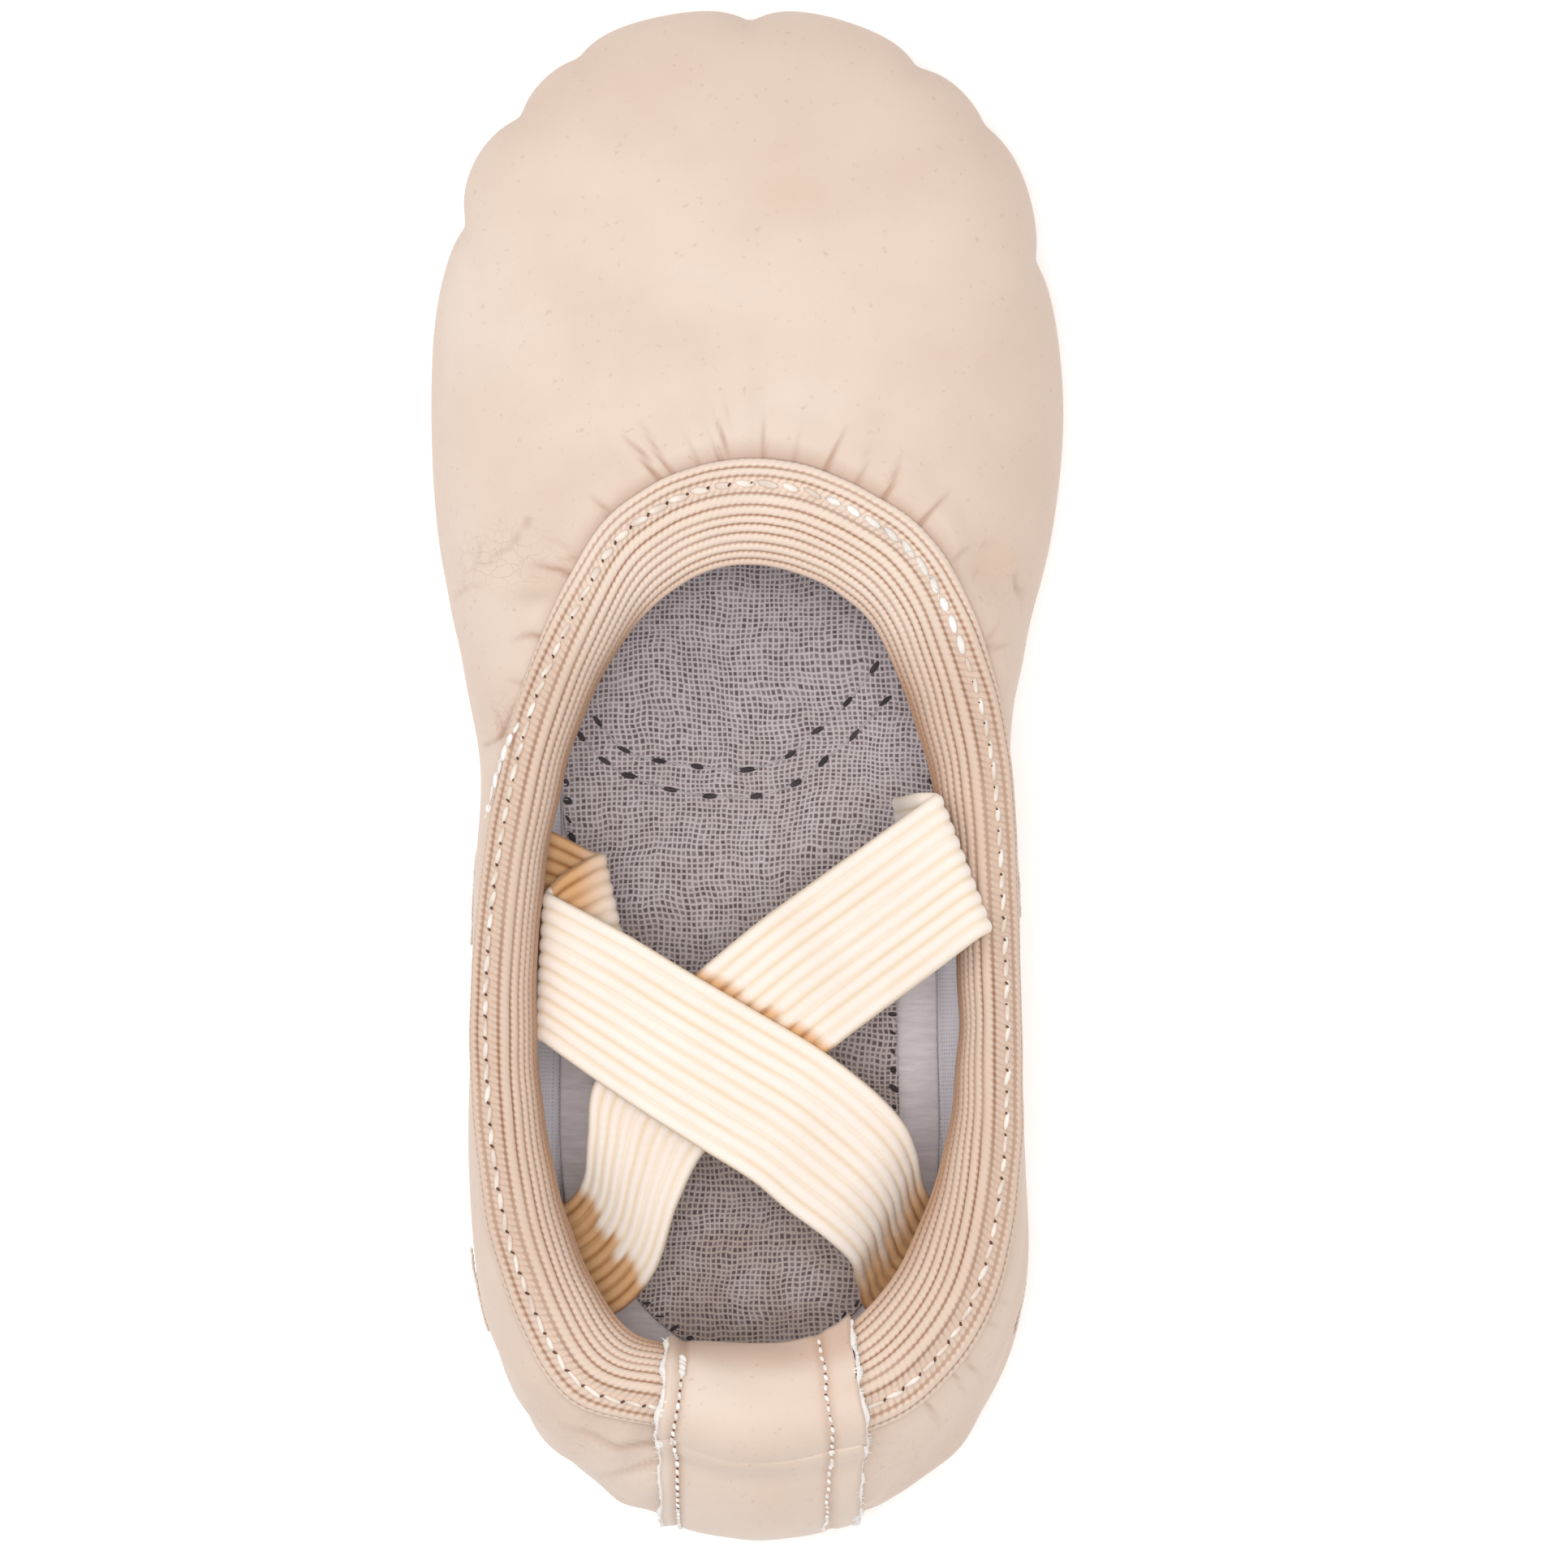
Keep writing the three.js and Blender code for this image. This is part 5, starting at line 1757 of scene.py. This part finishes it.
# Tan parts of the straps, near their sewn ends. The first over-strap part runs on over the fold,
# and the last under-strap part lies beside the crossing: there the tan is painted shade.
OVER_TAN = (
    Tan(((-13.0, -30.0), (-13.0, 0.0)), (0.0, 0.385), 6.0, jagged=0.2),
    Tan(((16.6, -42.8), (10.2, -52.8)), (0.72, 1.0), 3.8, jagged=0.7),
)
UNDER_TAN = (
    Tan(((-11.1, -53.3), (-17.4, -43.8)), (0.75, 1.0), 1.4, jagged=0.8),
    Tan(((8.65, -28.1), (-4.55, -20.5)), (0.3, 0.8), 1.5, wide=3.6, jagged=0.5),
)


@dataclass
class Straps:
    """The two crossed instep straps and the bar tacks that hold their ends."""

    last: Last
    width: float = 15.75
    thick: float = 0.9
    ribs: int = 10
    rib_height: float = 0.22
    fit: float = 0.3
    inside: float = 1.8
    heel_room: float = 1.7
    lift_start: float = 9.4
    lift_end: float = 1.2

    def __post_init__(self) -> None:
        """Places the four sewn ends."""
        behind = self.inside + self.heel_room
        self.front_left = SewnEnd(Side.LEFT, -6.0, -21.0, 25.3, 18.5, self.inside)
        self.front_right = SewnEnd(Side.RIGHT, -3.0, -18.0, 25.3, 18.5, self.inside)
        self.rear_left = SewnEnd(Side.LEFT, -48.5, -62.5, 23.5, 17.0, behind)
        self.rear_right = SewnEnd(Side.RIGHT, -48.8, -62.8, 24.5, 18.0, behind)

    def build(self) -> None:
        """Builds and dresses both straps and their tacks."""
        self.strap("instep_strap_over", self.front_left, OVER_RUN, self.rear_right, Body.OVER,
                   "strap_over", OVER_TAN)
        self.strap("instep_strap_under", self.front_right, UNDER_RUN, self.rear_left, Body.UNDER,
                   "strap_under", UNDER_TAN)
        for label, end in (("front_left", self.front_left), ("front_right", self.front_right),
                           ("rear_left", self.rear_left), ("rear_right", self.rear_right)):
            self.tack(label, end)

    def place_on_side(self, side: Side, y: float, z: float) -> tuple[float, float]:
        """Searches the wall for a height and a distance along the shoe.

        Args:
            side: Which wall.
            y: The distance along the shoe.
            z: The height.

        Returns:
            The place round the shoe and the row.
        """
        start, stop = (0.02, 0.48) if side is Side.LEFT else (0.98, 0.52)
        u, row = np.array(start), np.array(1.5)
        for _ in range(4):
            low, high = np.array(start), np.array(stop)
            for _ in range(20):
                u = (low + high) / 2
                behind = self.last.point(u, row)[1] < y
                low, high = np.where(behind, u, low), np.where(behind, high, u)
            bottom, top = np.array(1.0), np.array(2.0)
            for _ in range(20):
                row = (bottom + top) / 2
                under = self.last.point(u, row)[2] < z
                bottom, top = np.where(under, row, bottom), np.where(under, top, row)
        return float(u), float(row)

    def sewn_edges(self, end: SewnEnd, z: float) -> Array:
        """Both edges of a sewn end at one height.

        Args:
            end: The sewn end.
            z: The height.

        Returns:
            The toe edge's point, then the heel edge's.
        """
        edges = []
        for y in (end.toe, end.heel):
            u, row = self.place_on_side(end.side, y * self.last.along, z)
            depth = np.array(-end.depth - self.fit - self.thick / 2)
            edges.append(self.last.skin(np.array(u), np.array(row), depth))
        return np.array(edges)

    def free_edges(self, station: Sequence[float]) -> Array:
        """Both edges of a strap at a free station.

        Args:
            station: The station, as in the tables above.

        Returns:
            The toe edge's point, then the heel edge's.
        """
        x, y, drop, bearing, gathered = station
        turn = math.radians(bearing)
        across = np.array([math.sin(turn), -math.cos(turn), 0.0])
        centre = np.array([x * self.last.across, y * self.last.along,
                           self.last.side_height - drop])
        half = across * self.width / 2 * gathered
        return np.array([centre - half, centre + half])

    def strap(self, name: str, first: SewnEnd, stations: Sequence[Sequence[float]],
              last_end: SewnEnd, body: Body, cad: str, tans: Sequence[Tan]) -> Piece:
        """One strap as a ribbon with rounded ribs on both faces.

        Args:
            name: The piece's name.
            first: The sewn end that it starts from.
            stations: Its free stations.
            last_end: The sewn end that it runs to.
            body: The body that its middle would move with; the bend that names it is only logged.
            cad: The CAD node that it stands for.
            tans: Its tan parts.

        Returns:
            The object.
        """
        pairs = np.array([self.sewn_edges(first, z) for z in (first.bottom, first.top)]
                         + [self.free_edges(station) for station in stations]
                         + [self.sewn_edges(last_end, z) for z in (last_end.top, last_end.bottom)])
        steps = (len(pairs) - 1) * 14
        t = np.linspace(0, 1, steps + 1)
        toe, toe_run = spline(pairs[:, 0], t, False)
        heel, heel_run = spline(pairs[:, 1], t, False)
        up = unit(np.cross(unit(toe_run) + unit(heel_run), heel - toe))
        middle = (toe + heel) / 2
        run = np.concatenate([[0], np.cumsum(np.linalg.norm(np.diff(middle, axis=0), axis=1))])
        top_lines = self.ribs * 8
        back_lines = self.ribs * 4
        share = np.concatenate([np.linspace(0, 1, top_lines + 1),
                                np.linspace(1, 0, back_lines + 1)])
        face = np.concatenate([np.full(top_lines + 1, -1.0), np.full(back_lines + 1, 1.0)])
        count = len(share)
        draw = np.random.default_rng(7)
        jag = draw.uniform(-1.0, 1.0, self.ribs)

        def shape(i: Array, j: Array) -> Surface:
            """Places the ribbon's vertices."""
            j = j % count
            across, side = share[j], face[j]
            rib = np.clip((across * self.ribs).astype(int), 0, self.ribs - 1)
            phase = across * self.ribs - rib
            relief = np.sin(np.pi * phase) ** 0.8
            half = self.thick / 2 - self.rib_height * 0.55 + self.rib_height * relief
            half = half * np.where((across < 1e-6) | (across > 1 - 1e-6), 0.55, 1.0)
            base = toe[i] + (heel[i] - toe[i]) * across[:, None]
            x, y = base[:, 0] / self.last.across, base[:, 1] / self.last.along
            # Tan near the sewn ends, and painted shade on the over strap's fold and beside the
            # crossing.
            tan_and_shade = np.clip(sum(tan.share_at(x, y, t[i], jag[rib]) for tan in tans), 0, 1)
            points = base + up[i] * (half * side)[:, None]
            return Surface(points, np.stack([run[i], across * self.width], -1),
                           {"relief": relief, "turned": tan_and_shade})

        piece = grid_piece(name, steps, count, shape)
        low = self.last.side_height - self.lift_start
        high = self.last.side_height - self.lift_end
        bend = (Body.REAR, body, Vector((0, 0, low * MM)), Vector((0, 0, high * MM)))
        return settle(piece, STRAP_ELASTIC, bends=bend, stands_for=(cad,))

    def tack(self, label: str, end: SewnEnd) -> Piece:
        """A bar of close stitches on the outside of the leather.

        Args:
            label: Which corner.
            end: The sewn end that it holds.

        Returns:
            The object.
        """
        middle = (end.top + end.bottom) / 2 + 2
        ys = np.linspace(end.toe - 2.5, end.heel + 2.5, 9)
        places = [self.place_on_side(end.side, y * self.last.along, middle) for y in ys]
        u = np.interp(np.linspace(0, 8, 160), np.arange(9), [place[0] for place in places])
        row = np.interp(np.linspace(0, 8, 160), np.arange(9), [place[1] for place in places])
        line = self.last.skin(u, row, np.full_like(u, 0.22))
        piece = stitch_row("bar_tack_" + label, line, self.last.normal(u, row), 0.62, length=0.75,
                           width=0.9, thick=0.32, tilt=32.0, seed=len(label))
        return settle(piece, CREAM_THREAD, stands_for=("strap_tack_" + label,))


# ---- The sole and the insole

FOREFOOT_PAD = np.array([
    [-4.0, -4.1], [-13.5, -1.8], [-19.4, 3.0], [-23.2, 12.0], [-24.5, 27.0], [-24.3, 42.0],
    [-20.0, 57.5], [-11.0, 67.0], [0.0, 70.0], [11.0, 67.0], [20.0, 57.5], [24.3, 42.0],
    [23.0, 27.0], [19.4, 12.5], [13.2, 3.0], [6.0, -2.6],
])
HEEL_PAD = np.array([
    [0.5, -33.5], [-10.5, -36.0], [-17.8, -44.0], [-19.6, -56.0], [-15.8, -68.0],
    [-7.0, -75.2], [1.5, -76.6], [9.6, -75.2], [17.6, -68.0], [20.4, -56.0],
    [18.6, -44.0], [11.5, -36.0],
])
UNDERLAY_OUTLINE = np.array([
    [0.5, -68.0], [-9.5, -65.0], [-17.0, -57.0], [-20.0, -44.0], [-20.2, -28.0], [-20.0, -12.0],
    [-20.6, 2.0], [-23.6, 16.0], [-26.0, 30.0], [-26.2, 44.0], [-22.4, 58.0], [-12.0, 68.5],
    [0.0, 71.5], [12.0, 68.5], [22.4, 58.0], [26.2, 44.0], [26.0, 30.0], [23.4, 16.0],
    [20.8, 2.0], [20.4, -12.0], [20.6, -28.0], [20.6, -44.0], [18.0, -57.0], [10.5, -65.0],
])
# Stitch rows of the forefoot pad where they come through the sock, inner and outer row.
SOCK_ROW_INNER = ((-16.2, 5.6), (-13.3, 2.5), (-9.5, 1.3), (-5.4, 0.7), (0.0, 0.35), (4.7, 2.0),
                  (7.6, 4.6), (10.9, 7.7), (13.8, 11.4))
SOCK_ROW_OUTER = ((-18.0, 4.0), (-15.4, 1.3), (-12.8, -0.3), (-8.3, -1.8), (-4.0, -2.5),
                  (1.0, -2.5), (5.3, -1.1), (8.3, 1.3), (11.6, 4.1), (15.0, 7.8))

Bump = Callable[[Array, Array], Array]


@dataclass(frozen=True)
class Plate:
    """A flat piece cut to an outline, with a rounded edge and its own relief."""

    last: Last
    outline: Array
    bottom: float
    thick: float
    inset: float = 0.0
    around: int = 260
    rings: int = 70
    grooves: tuple[float, ...] = ()
    groove_depth: float = 0.0
    inset_at: Callable[[Array], Array] | None = None

    def loop(self, t: Array, inset: Array | float) -> Array:
        """Plan points on the outline, moved inwards.

        Args:
            t: Places on the outline, from 0 to 1.
            inset: How far they move.

        Returns:
            The points.
        """
        grade = np.array([self.last.across, self.last.along])
        point, run = spline(self.outline * grade, t, True)
        ahead = np.roll(self.outline, -1, axis=0)
        area = (self.outline[:, 0] * ahead[:, 1] - ahead[:, 0] * self.outline[:, 1]).sum()
        inward = unit(np.stack([run[..., 1], -run[..., 0]], -1)) * -np.sign(area)
        return point + inward * np.asarray(inset, float)[..., None]

    def centre(self) -> Array:
        """The plan point where the plate's rings close."""
        return self.loop(np.linspace(0, 1, 64, endpoint=False), 0.0).mean(axis=0)

    def build(self, name: str, top_relief: Bump | None = None) -> Piece:
        """Builds the plate as rings from the middle of its underside to the middle of its top.

        Args:
            name: The piece's name.
            top_relief: Extra height of the top at plan places.

        Returns:
            The object.
        """
        edge = min(0.35, self.thick / 2)
        seams = np.array([g + d for g in self.grooves for d in (-0.55, -0.25, 0.25, 0.55)])
        under = np.unique(np.concatenate([[0.0, 0.6, 1.2, 6.5], seams])) if len(seams) else \
            np.array([0.0, 1.2, 6.5])
        shrink_under = np.linspace(1, 0, 8)[1:]
        shrink_top = np.linspace(0, 1, self.rings)[:-1]
        insets, heights, shrink = [], [], []
        for share in shrink_under[::-1]:
            insets.append(6.5), heights.append(0.0), shrink.append(share)
        for value in under[::-1]:
            deep = self.groove_depth if any(abs(value - g) < 0.3 for g in self.grooves) else 0.0
            insets.append(value + edge), heights.append(deep), shrink.append(1.0)
        for angle in np.linspace(0, math.pi, 7)[1:-1]:
            insets.append(edge * (1 - math.sin(angle)))
            heights.append(lerp(0.0, self.thick, (1 - math.cos(angle)) / 2))
            shrink.append(1.0)
        for value in (0.0, 0.5, 1.0, 2.0, 3.2, 4.6, 6.1):
            insets.append(value + edge), heights.append(self.thick), shrink.append(1.0)
        for share in shrink_top[::-1]:
            insets.append(6.5), heights.append(self.thick), shrink.append(share)
        insets, heights, shrink = map(np.array, (insets, heights, shrink))
        centre = self.centre()
        lines = len(insets) - 1

        def shape(i: Array, j: Array) -> Surface:
            """Places the plate's vertices."""
            t = (i % self.around) / self.around
            spare = self.inset if self.inset_at is None else self.inset_at(self.loop(t, 0.0)[:, 1])
            plan = self.loop(t, spare + insets[j])
            plan = centre + (plan - centre) * shrink[j][:, None]
            z = self.bottom + heights[j]
            if top_relief is not None:
                upper = smoothstep(heights[j], self.thick * 0.4, self.thick)
                z = z + top_relief(plan[:, 0], plan[:, 1]) * upper
            return Surface(np.column_stack([plan, z]), plan)

        return grid_piece(name, self.around, lines, shape)


@dataclass
class Sole:
    """The suede pads, their stitches, the seam tape and the foam under the insole."""

    last: Last
    pad: float = 1.6
    seam: float = 1.6
    seam_pitch: float = 2.9
    groove: float = 0.9
    forefoot_inset: float = 3.8
    heel_inset: float = 6.6

    def build(self) -> None:
        """Builds and dresses the pads, their stitches, the cushions and the tape."""
        rows = (self.seam, self.seam + self.seam_pitch)
        front = Plate(self.last, FOREFOOT_PAD, self._low("forefoot_pad"), self.pad, grooves=rows,
                      groove_depth=self.groove, rings=26)
        settle(front.build("forefoot_suede_pad", self._pad_relief), SUEDE, bends=flex(),
               stands_for=("forefoot_pad",))
        rear = Plate(self.last, HEEL_PAD, self._low("heel_pad"), self.pad, grooves=rows[:1],
                     groove_depth=self.groove, around=200, rings=20)
        settle(rear.build("heel_suede_pad", self._pad_relief), SUEDE, stands_for=("heel_pad",))
        for name, plate, inset, cad, bends in (
                ("forefoot_pad_stitches_outer", front, rows[0], "forefoot_pad_stitch_outer", True),
                ("forefoot_pad_stitches_inner", front, rows[1], "forefoot_pad_stitch_inner", True),
                ("heel_pad_stitches", rear, rows[0], "heel_pad_stitch", False)):
            self._pad_stitches(name, plate, inset, cad, bends)
        self._cushion("forefoot_foam_cushion", FOREFOOT_PAD, self.forefoot_inset,
                      "forefoot_cushion", True)
        self._cushion("heel_foam_cushion", HEEL_PAD, self.heel_inset, "heel_cushion", False)
        self._tape()

    @staticmethod
    def _low(cad: str) -> float:
        """The bottom of a CAD node, in millimetres."""
        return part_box(cad)[0].z / MM

    @staticmethod
    def _pad_relief(x: Array, y: Array) -> Array:
        """Slight unevenness of the pad's inner face."""
        return 0.04 * ripples(x, y, 8.0, 17)

    def _pad_stitches(self, name: str, plate: Plate, inset: float, cad: str, bends: bool) -> None:
        """Thread that lies in a pad's groove.

        Args:
            name: The piece's name.
            plate: The pad.
            inset: Where its groove is.
            cad: The CAD node that the thread stands for.
            bends: Whether it crosses the ball of the foot.
        """
        t = np.linspace(0, 1, 1600)
        plan = plate.loop(t, inset)
        z = self.groove - 0.45
        line = np.column_stack([plan, np.full(len(t), z)])
        normal = np.tile([0.0, 0.0, -1.0], (len(t), 1))
        piece = stitch_row(name, line, normal, 2.2, length=1.9, width=0.5, thick=0.42, tilt=5.0)
        settle(piece, WHITE_THREAD, bends=flex() if bends else None, stands_for=(cad,))

    def _cushion(self, name: str, outline: Array, inset: float, cad: str, bends: bool) -> None:
        """A thin foam insert, crowned in its middle and thinned at its edge.

        Args:
            name: The piece's name.
            outline: The outline of the pad that it lies over.
            inset: How much smaller it is than the pad.
            cad: The CAD node that it stands for.
            bends: Whether it crosses the ball of the foot.
        """
        low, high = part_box(cad)
        base, thick = low.z / MM, (high.z - low.z) / MM
        plate = Plate(self.last, outline, base, thick * 0.8, inset=inset, around=120, rings=20)
        centre = plate.centre()
        rim = plate.loop(np.linspace(0, 1, 64, endpoint=False), inset)
        reach = np.abs(rim - centre).max(axis=0)

        def crown(x: Array, y: Array) -> Array:
            """Rises to the CAD solid's full height in the middle."""
            away = ((x - centre[0]) / reach[0]) ** 2 + ((y - centre[1]) / reach[1]) ** 2
            return thick * 0.2 * np.clip(1 - away, 0, 1)

        piece = plate.build(name, crown)
        settle(piece, FOAM, bends=flex() if bends else None, stands_for=(cad,))

    def _tape(self) -> None:
        """The tape that covers the seam at the arch, inside the shoe."""
        low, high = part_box("arch_seam_tape")
        low, high = np.array(low) / MM, np.array(high) / MM
        middle = (low + high) / 2
        size = high - low
        corners = np.array([[middle[0] + sx * size[0] / 2, middle[1] + sy * size[1] / 2]
                            for sx, sy in ((1, -1), (0, -1), (-1, -1), (-1, 0), (-1, 1), (0, 1),
                                           (1, 1), (1, 0))])
        plate = Plate(Last(1.0, 1.0), corners, low[2], size[2], around=64, rings=12)
        settle(plate.build("arch_seam_binding"), BINDING_TAPE, stands_for=("arch_seam_tape",))


@dataclass
class Insole:
    """The felt underlay, the gauze-faced sock and the stitches that show on it."""

    last: Last
    sock_inset: float = 4.3
    underlay_bottom: float = 4.5
    underlay: float = 0.6
    sock: float = 0.5
    fit: float = 0.3
    underlay_flat: tuple[float, float] = (0.0524, 0.1395)
    underlay_area: float = 0.0061
    sock_flat: tuple[float, float] = (0.0438, 0.1309)
    sock_area: float = 0.0048

    def __post_init__(self) -> None:
        """Finds where the sock lies."""
        self.sock_bottom = self.underlay_bottom + self.underlay + self.fit
        self.sock_top = self.sock_bottom + self.sock
        self.outline = Plate(self.last, UNDERLAY_OUTLINE, self.sock_bottom, self.sock)
        self.marks = self._row_marks()

    def build(self) -> None:
        """Builds and dresses the insole's layers and stitches."""
        felt = Plate(self.last, UNDERLAY_OUTLINE, self.underlay_bottom, self.underlay, rings=40)
        piece = felt.build("felt_underlay", self._felt_relief)
        settle(piece, FELT, bends=flex(), stands_for=("insole_underlay",))
        sock = Plate(self.last, UNDERLAY_OUTLINE, self.sock_bottom, self.sock,
                     inset_at=self._sock_inset, around=300, rings=150)
        piece = sock.build("gauze_sock", self.sock_relief)
        settle(piece, GAUZE, bends=flex(), stands_for=("insole_sock",))
        self._edge_stitches()
        self._through_rows()

    def _sock_inset(self, y: Array) -> Array:
        """The sock leaves a strip of felt beside the arch, and covers it in front."""
        return lerp(self.sock_inset, 0.2, smoothstep(y / self.last.along, -16.0, -5.0))

    @staticmethod
    def _felt_relief(x: Array, y: Array) -> Array:
        """Loose fibres make the felt uneven."""
        return 0.07 * ripples(x, y * 2.0, 3.5, 12)

    def _row_marks(self) -> list[tuple[float, float, float]]:
        """Places of the through stitches: x, y and bearing."""
        marks = []
        for row in (SOCK_ROW_INNER, SOCK_ROW_OUTER):
            points = np.array(row, float)
            runs = np.gradient(points, axis=0)
            marks += [(float(x), float(y), math.atan2(run[1], run[0]))
                      for (x, y), run in zip(points, runs)]
        return marks

    def sock_relief(self, x: Array, y: Array) -> Array:
        """The sock's top: dimpled at the through stitches, with soft folds and a centre ridge.

        Args:
            x: Plan places.
            y: Plan places.

        Returns:
            Extra heights.
        """
        dents = np.zeros_like(x)
        for at_x, at_y, _ in self.marks:
            dents = dents + np.exp(-((x - at_x) ** 2 + (y - at_y) ** 2) / 1.1 ** 2)
        furrow = np.zeros_like(x)
        for row in (SOCK_ROW_INNER, SOCK_ROW_OUTER):
            furrow = np.maximum(furrow, Crease(row, 1.0, 0.9).depth_at(x, y))
        ridge = 0.10 * bell(x + 2.6 + 0.02 * (y - 14), 0.5) * smoothstep(y, 6, 12)
        soft = 0.10 * ripples(x, y, 16.0, 40)
        between = 0.12 * bell(y - 0.2 - 0.02 * x * x, 1.0) * (np.abs(x) < 15)
        return soft + ridge + between - 0.30 * dents - 0.10 * furrow

    def _edge_stitches(self) -> None:
        """Dark overcast stitches along the sock's side edge."""
        t = np.linspace(0, 1, 2400)
        edge = self.outline.loop(t, 0.0)[:, 1]
        plan = self.outline.loop(t, self._sock_inset(edge) + 0.55)
        z = self.sock_top + 0.08 + self.sock_relief(plan[:, 0], plan[:, 1])
        line = np.column_stack([plan, z])
        normal = np.tile([0.0, 0.0, 1.0], (len(t), 1))
        piece = stitch_row("sock_edge_stitches", line, normal, 2.0, length=1.0, width=0.5,
                           thick=0.3, tilt=38.0, jitter=0.28, seed=14)
        settle(piece, DARK_THREAD, bends=flex(), stands_for=("sock_stitching",))
        draw = np.random.default_rng(15)
        out = self.outline.loop(t, self._sock_inset(edge) - 1.6)
        tufts = []
        for k in range(0, len(t), 12):
            way = np.array([*(out[k] - plan[k]), 0.05]) + draw.normal(0, 0.25, 3) * [1, 1, 0.2]
            tufts.append((line[k] + np.array([0, 0, 0.02]), way))
        settle(fibres("sock_edge_fibres", tufts, draw), FELT, bends=flex())

    def _through_rows(self) -> None:
        """The pad's stitches where they pull the gauze down, as dark beads of painted shade in the
        pits, with the thread between them.
        """
        bm = bmesh.new()
        draw = np.random.default_rng(16)
        # Painted shade: a dark bead in each pit.
        for x, y, bearing in self.marks:
            z = self.sock_top + float(self.sock_relief(np.array([x]), np.array([y]))[0])
            turn = Matrix.Rotation(bearing + draw.normal(0, 0.12), 4, "Z")
            scale = Matrix.Diagonal((1.75 * draw.uniform(0.85, 1.15) * MM,
                                     0.60 * draw.uniform(0.85, 1.15) * MM, 0.24 * MM, 1.0))
            place = Matrix.Translation(Vector((x, y, z + 0.16)) * MM)
            bmesh.ops.create_uvsphere(bm, u_segments=12, v_segments=8, radius=0.5,
                                      matrix=place @ turn @ scale)
        bmesh.ops.recalc_face_normals(bm, faces=bm.faces)
        settle(finished_object("through_stitch_pit_shadows", bm), DARK_THREAD, bends=flex())
        for index, row in enumerate((SOCK_ROW_INNER, SOCK_ROW_OUTER)):
            plan, _ = spline(np.array(row, float), np.linspace(0, 1, 500), False)
            z = self.sock_top + 0.02 + self.sock_relief(plan[:, 0], plan[:, 1])
            line = np.column_stack([plan, z])
            normal = np.tile([0.0, 0.0, 1.0], (len(line), 1))
            line, normal = line[::4], normal[::4]
            piece = tube_piece(f"through_thread_{index + 1}", line, normal,
                               np.full(len(line), 0.11), 6)
            settle(piece, PALE_LINT, bends=flex())


# ---- The studio


@dataclass
class Studio:
    """A pale seamless floor, soft light from all round and the camera over the slipper."""

    centre: tuple[float, float] = (4.0, -1.2)
    view_side: float = 169.05
    lens: float = 400.0
    sensor: float = 36.0

    def build(self) -> None:
        """Makes the floor, the lights, the sky and the camera."""
        self._floor()
        self._lights()
        self._camera()

    def _floor(self) -> None:
        """A wide matt sheet of paper."""
        bm = bmesh.new()
        bmesh.ops.create_grid(bm, x_segments=1, y_segments=1, size=3.0)
        floor = finished_object("paper_floor", bm)
        material = bpy.data.materials.new("matt_white_paper")
        material.use_nodes = True
        tree = material.node_tree
        shader = tree.nodes["Principled BSDF"]
        place = node(tree, "TexCoord").outputs["Object"]
        fibre = node(tree, "TexNoise", {"Vector": place, "Scale": per_mm(3.0), "Detail": 4.0})
        rough = node(tree, "MapRange", {"Value": fibre, "To Min": 0.85, "To Max": 1.0})
        tone = node(tree, "Mix", {0: fibre, 6: "#fbfbfb", 7: "#f8f8f8"}, data_type="RGBA")
        set_shader(tree, shader, tone, rough, fibre, 0.01, 0.2,
                   {"Specular IOR Level": 0.1, "Emission Color": (1.0, 1.0, 1.0, 1.0),
                    "Emission Strength": 0.22})
        floor.data.materials.append(material)

    def _area(self, name: str, place: tuple[float, float, float], size: float,
              power: float) -> None:
        """A square soft light that faces the slipper.

        Args:
            name: The light's name.
            place: Where it stands, in metres.
            size: Its side, in metres.
            power: Its power, in watts.
        """
        light = bpy.data.lights.new(name, "AREA")
        light.shape = "SQUARE"
        light.size = size
        light.energy = power
        lamp = bpy.data.objects.new(name, light)
        lamp.location = place
        lamp.rotation_euler = (-Vector(place)).to_track_quat("-Z", "Y").to_euler()
        bpy.context.scene.collection.objects.link(lamp)

    def _lights(self) -> None:
        """Large soft boxes over the slipper, in a white room."""
        self._area("key_soft_box", (-0.65, 0.35, 1.1), 0.9, 4.5)
        self._area("fill_soft_box", (0.75, -0.3, 0.9), 0.9, 1.5)
        self._area("top_soft_box", (0.0, -0.03, 1.5), 0.45, 11.0)
        world = bpy.data.worlds.new("white_room")
        world.use_nodes = True
        sky = world.node_tree.nodes["Background"]
        sky.inputs["Color"].default_value = (1.0, 1.0, 1.0, 1.0)
        sky.inputs["Strength"].default_value = 0.44
        bpy.context.scene.world = world
        bpy.context.scene.view_settings.view_transform = "Standard"

    def _camera(self) -> None:
        """A long lens straight above, so that the sides stay upright."""
        data = bpy.data.cameras.new("overhead_camera")
        data.lens = self.lens
        data.sensor_width = self.sensor
        data.clip_start = 0.01
        data.clip_end = 60.0
        camera = bpy.data.objects.new("overhead_camera", data)
        distance = self.view_side * self.lens / self.sensor
        camera.location = Vector((self.centre[0], self.centre[1], distance + 14.0)) * MM
        bpy.context.scene.collection.objects.link(camera)
        bpy.context.scene.camera = camera


def main() -> None:
    """Builds the slipper and its studio."""
    logging.basicConfig(level=logging.INFO, format="%(name)s: %(message)s")
    last = Last.from_frame()
    Studio().build()
    Upper(last).build()
    Collar(last).build()
    Straps(last).build()
    Sole(last).build()
    Insole(last).build()


if __name__ == "__main__":
    main()
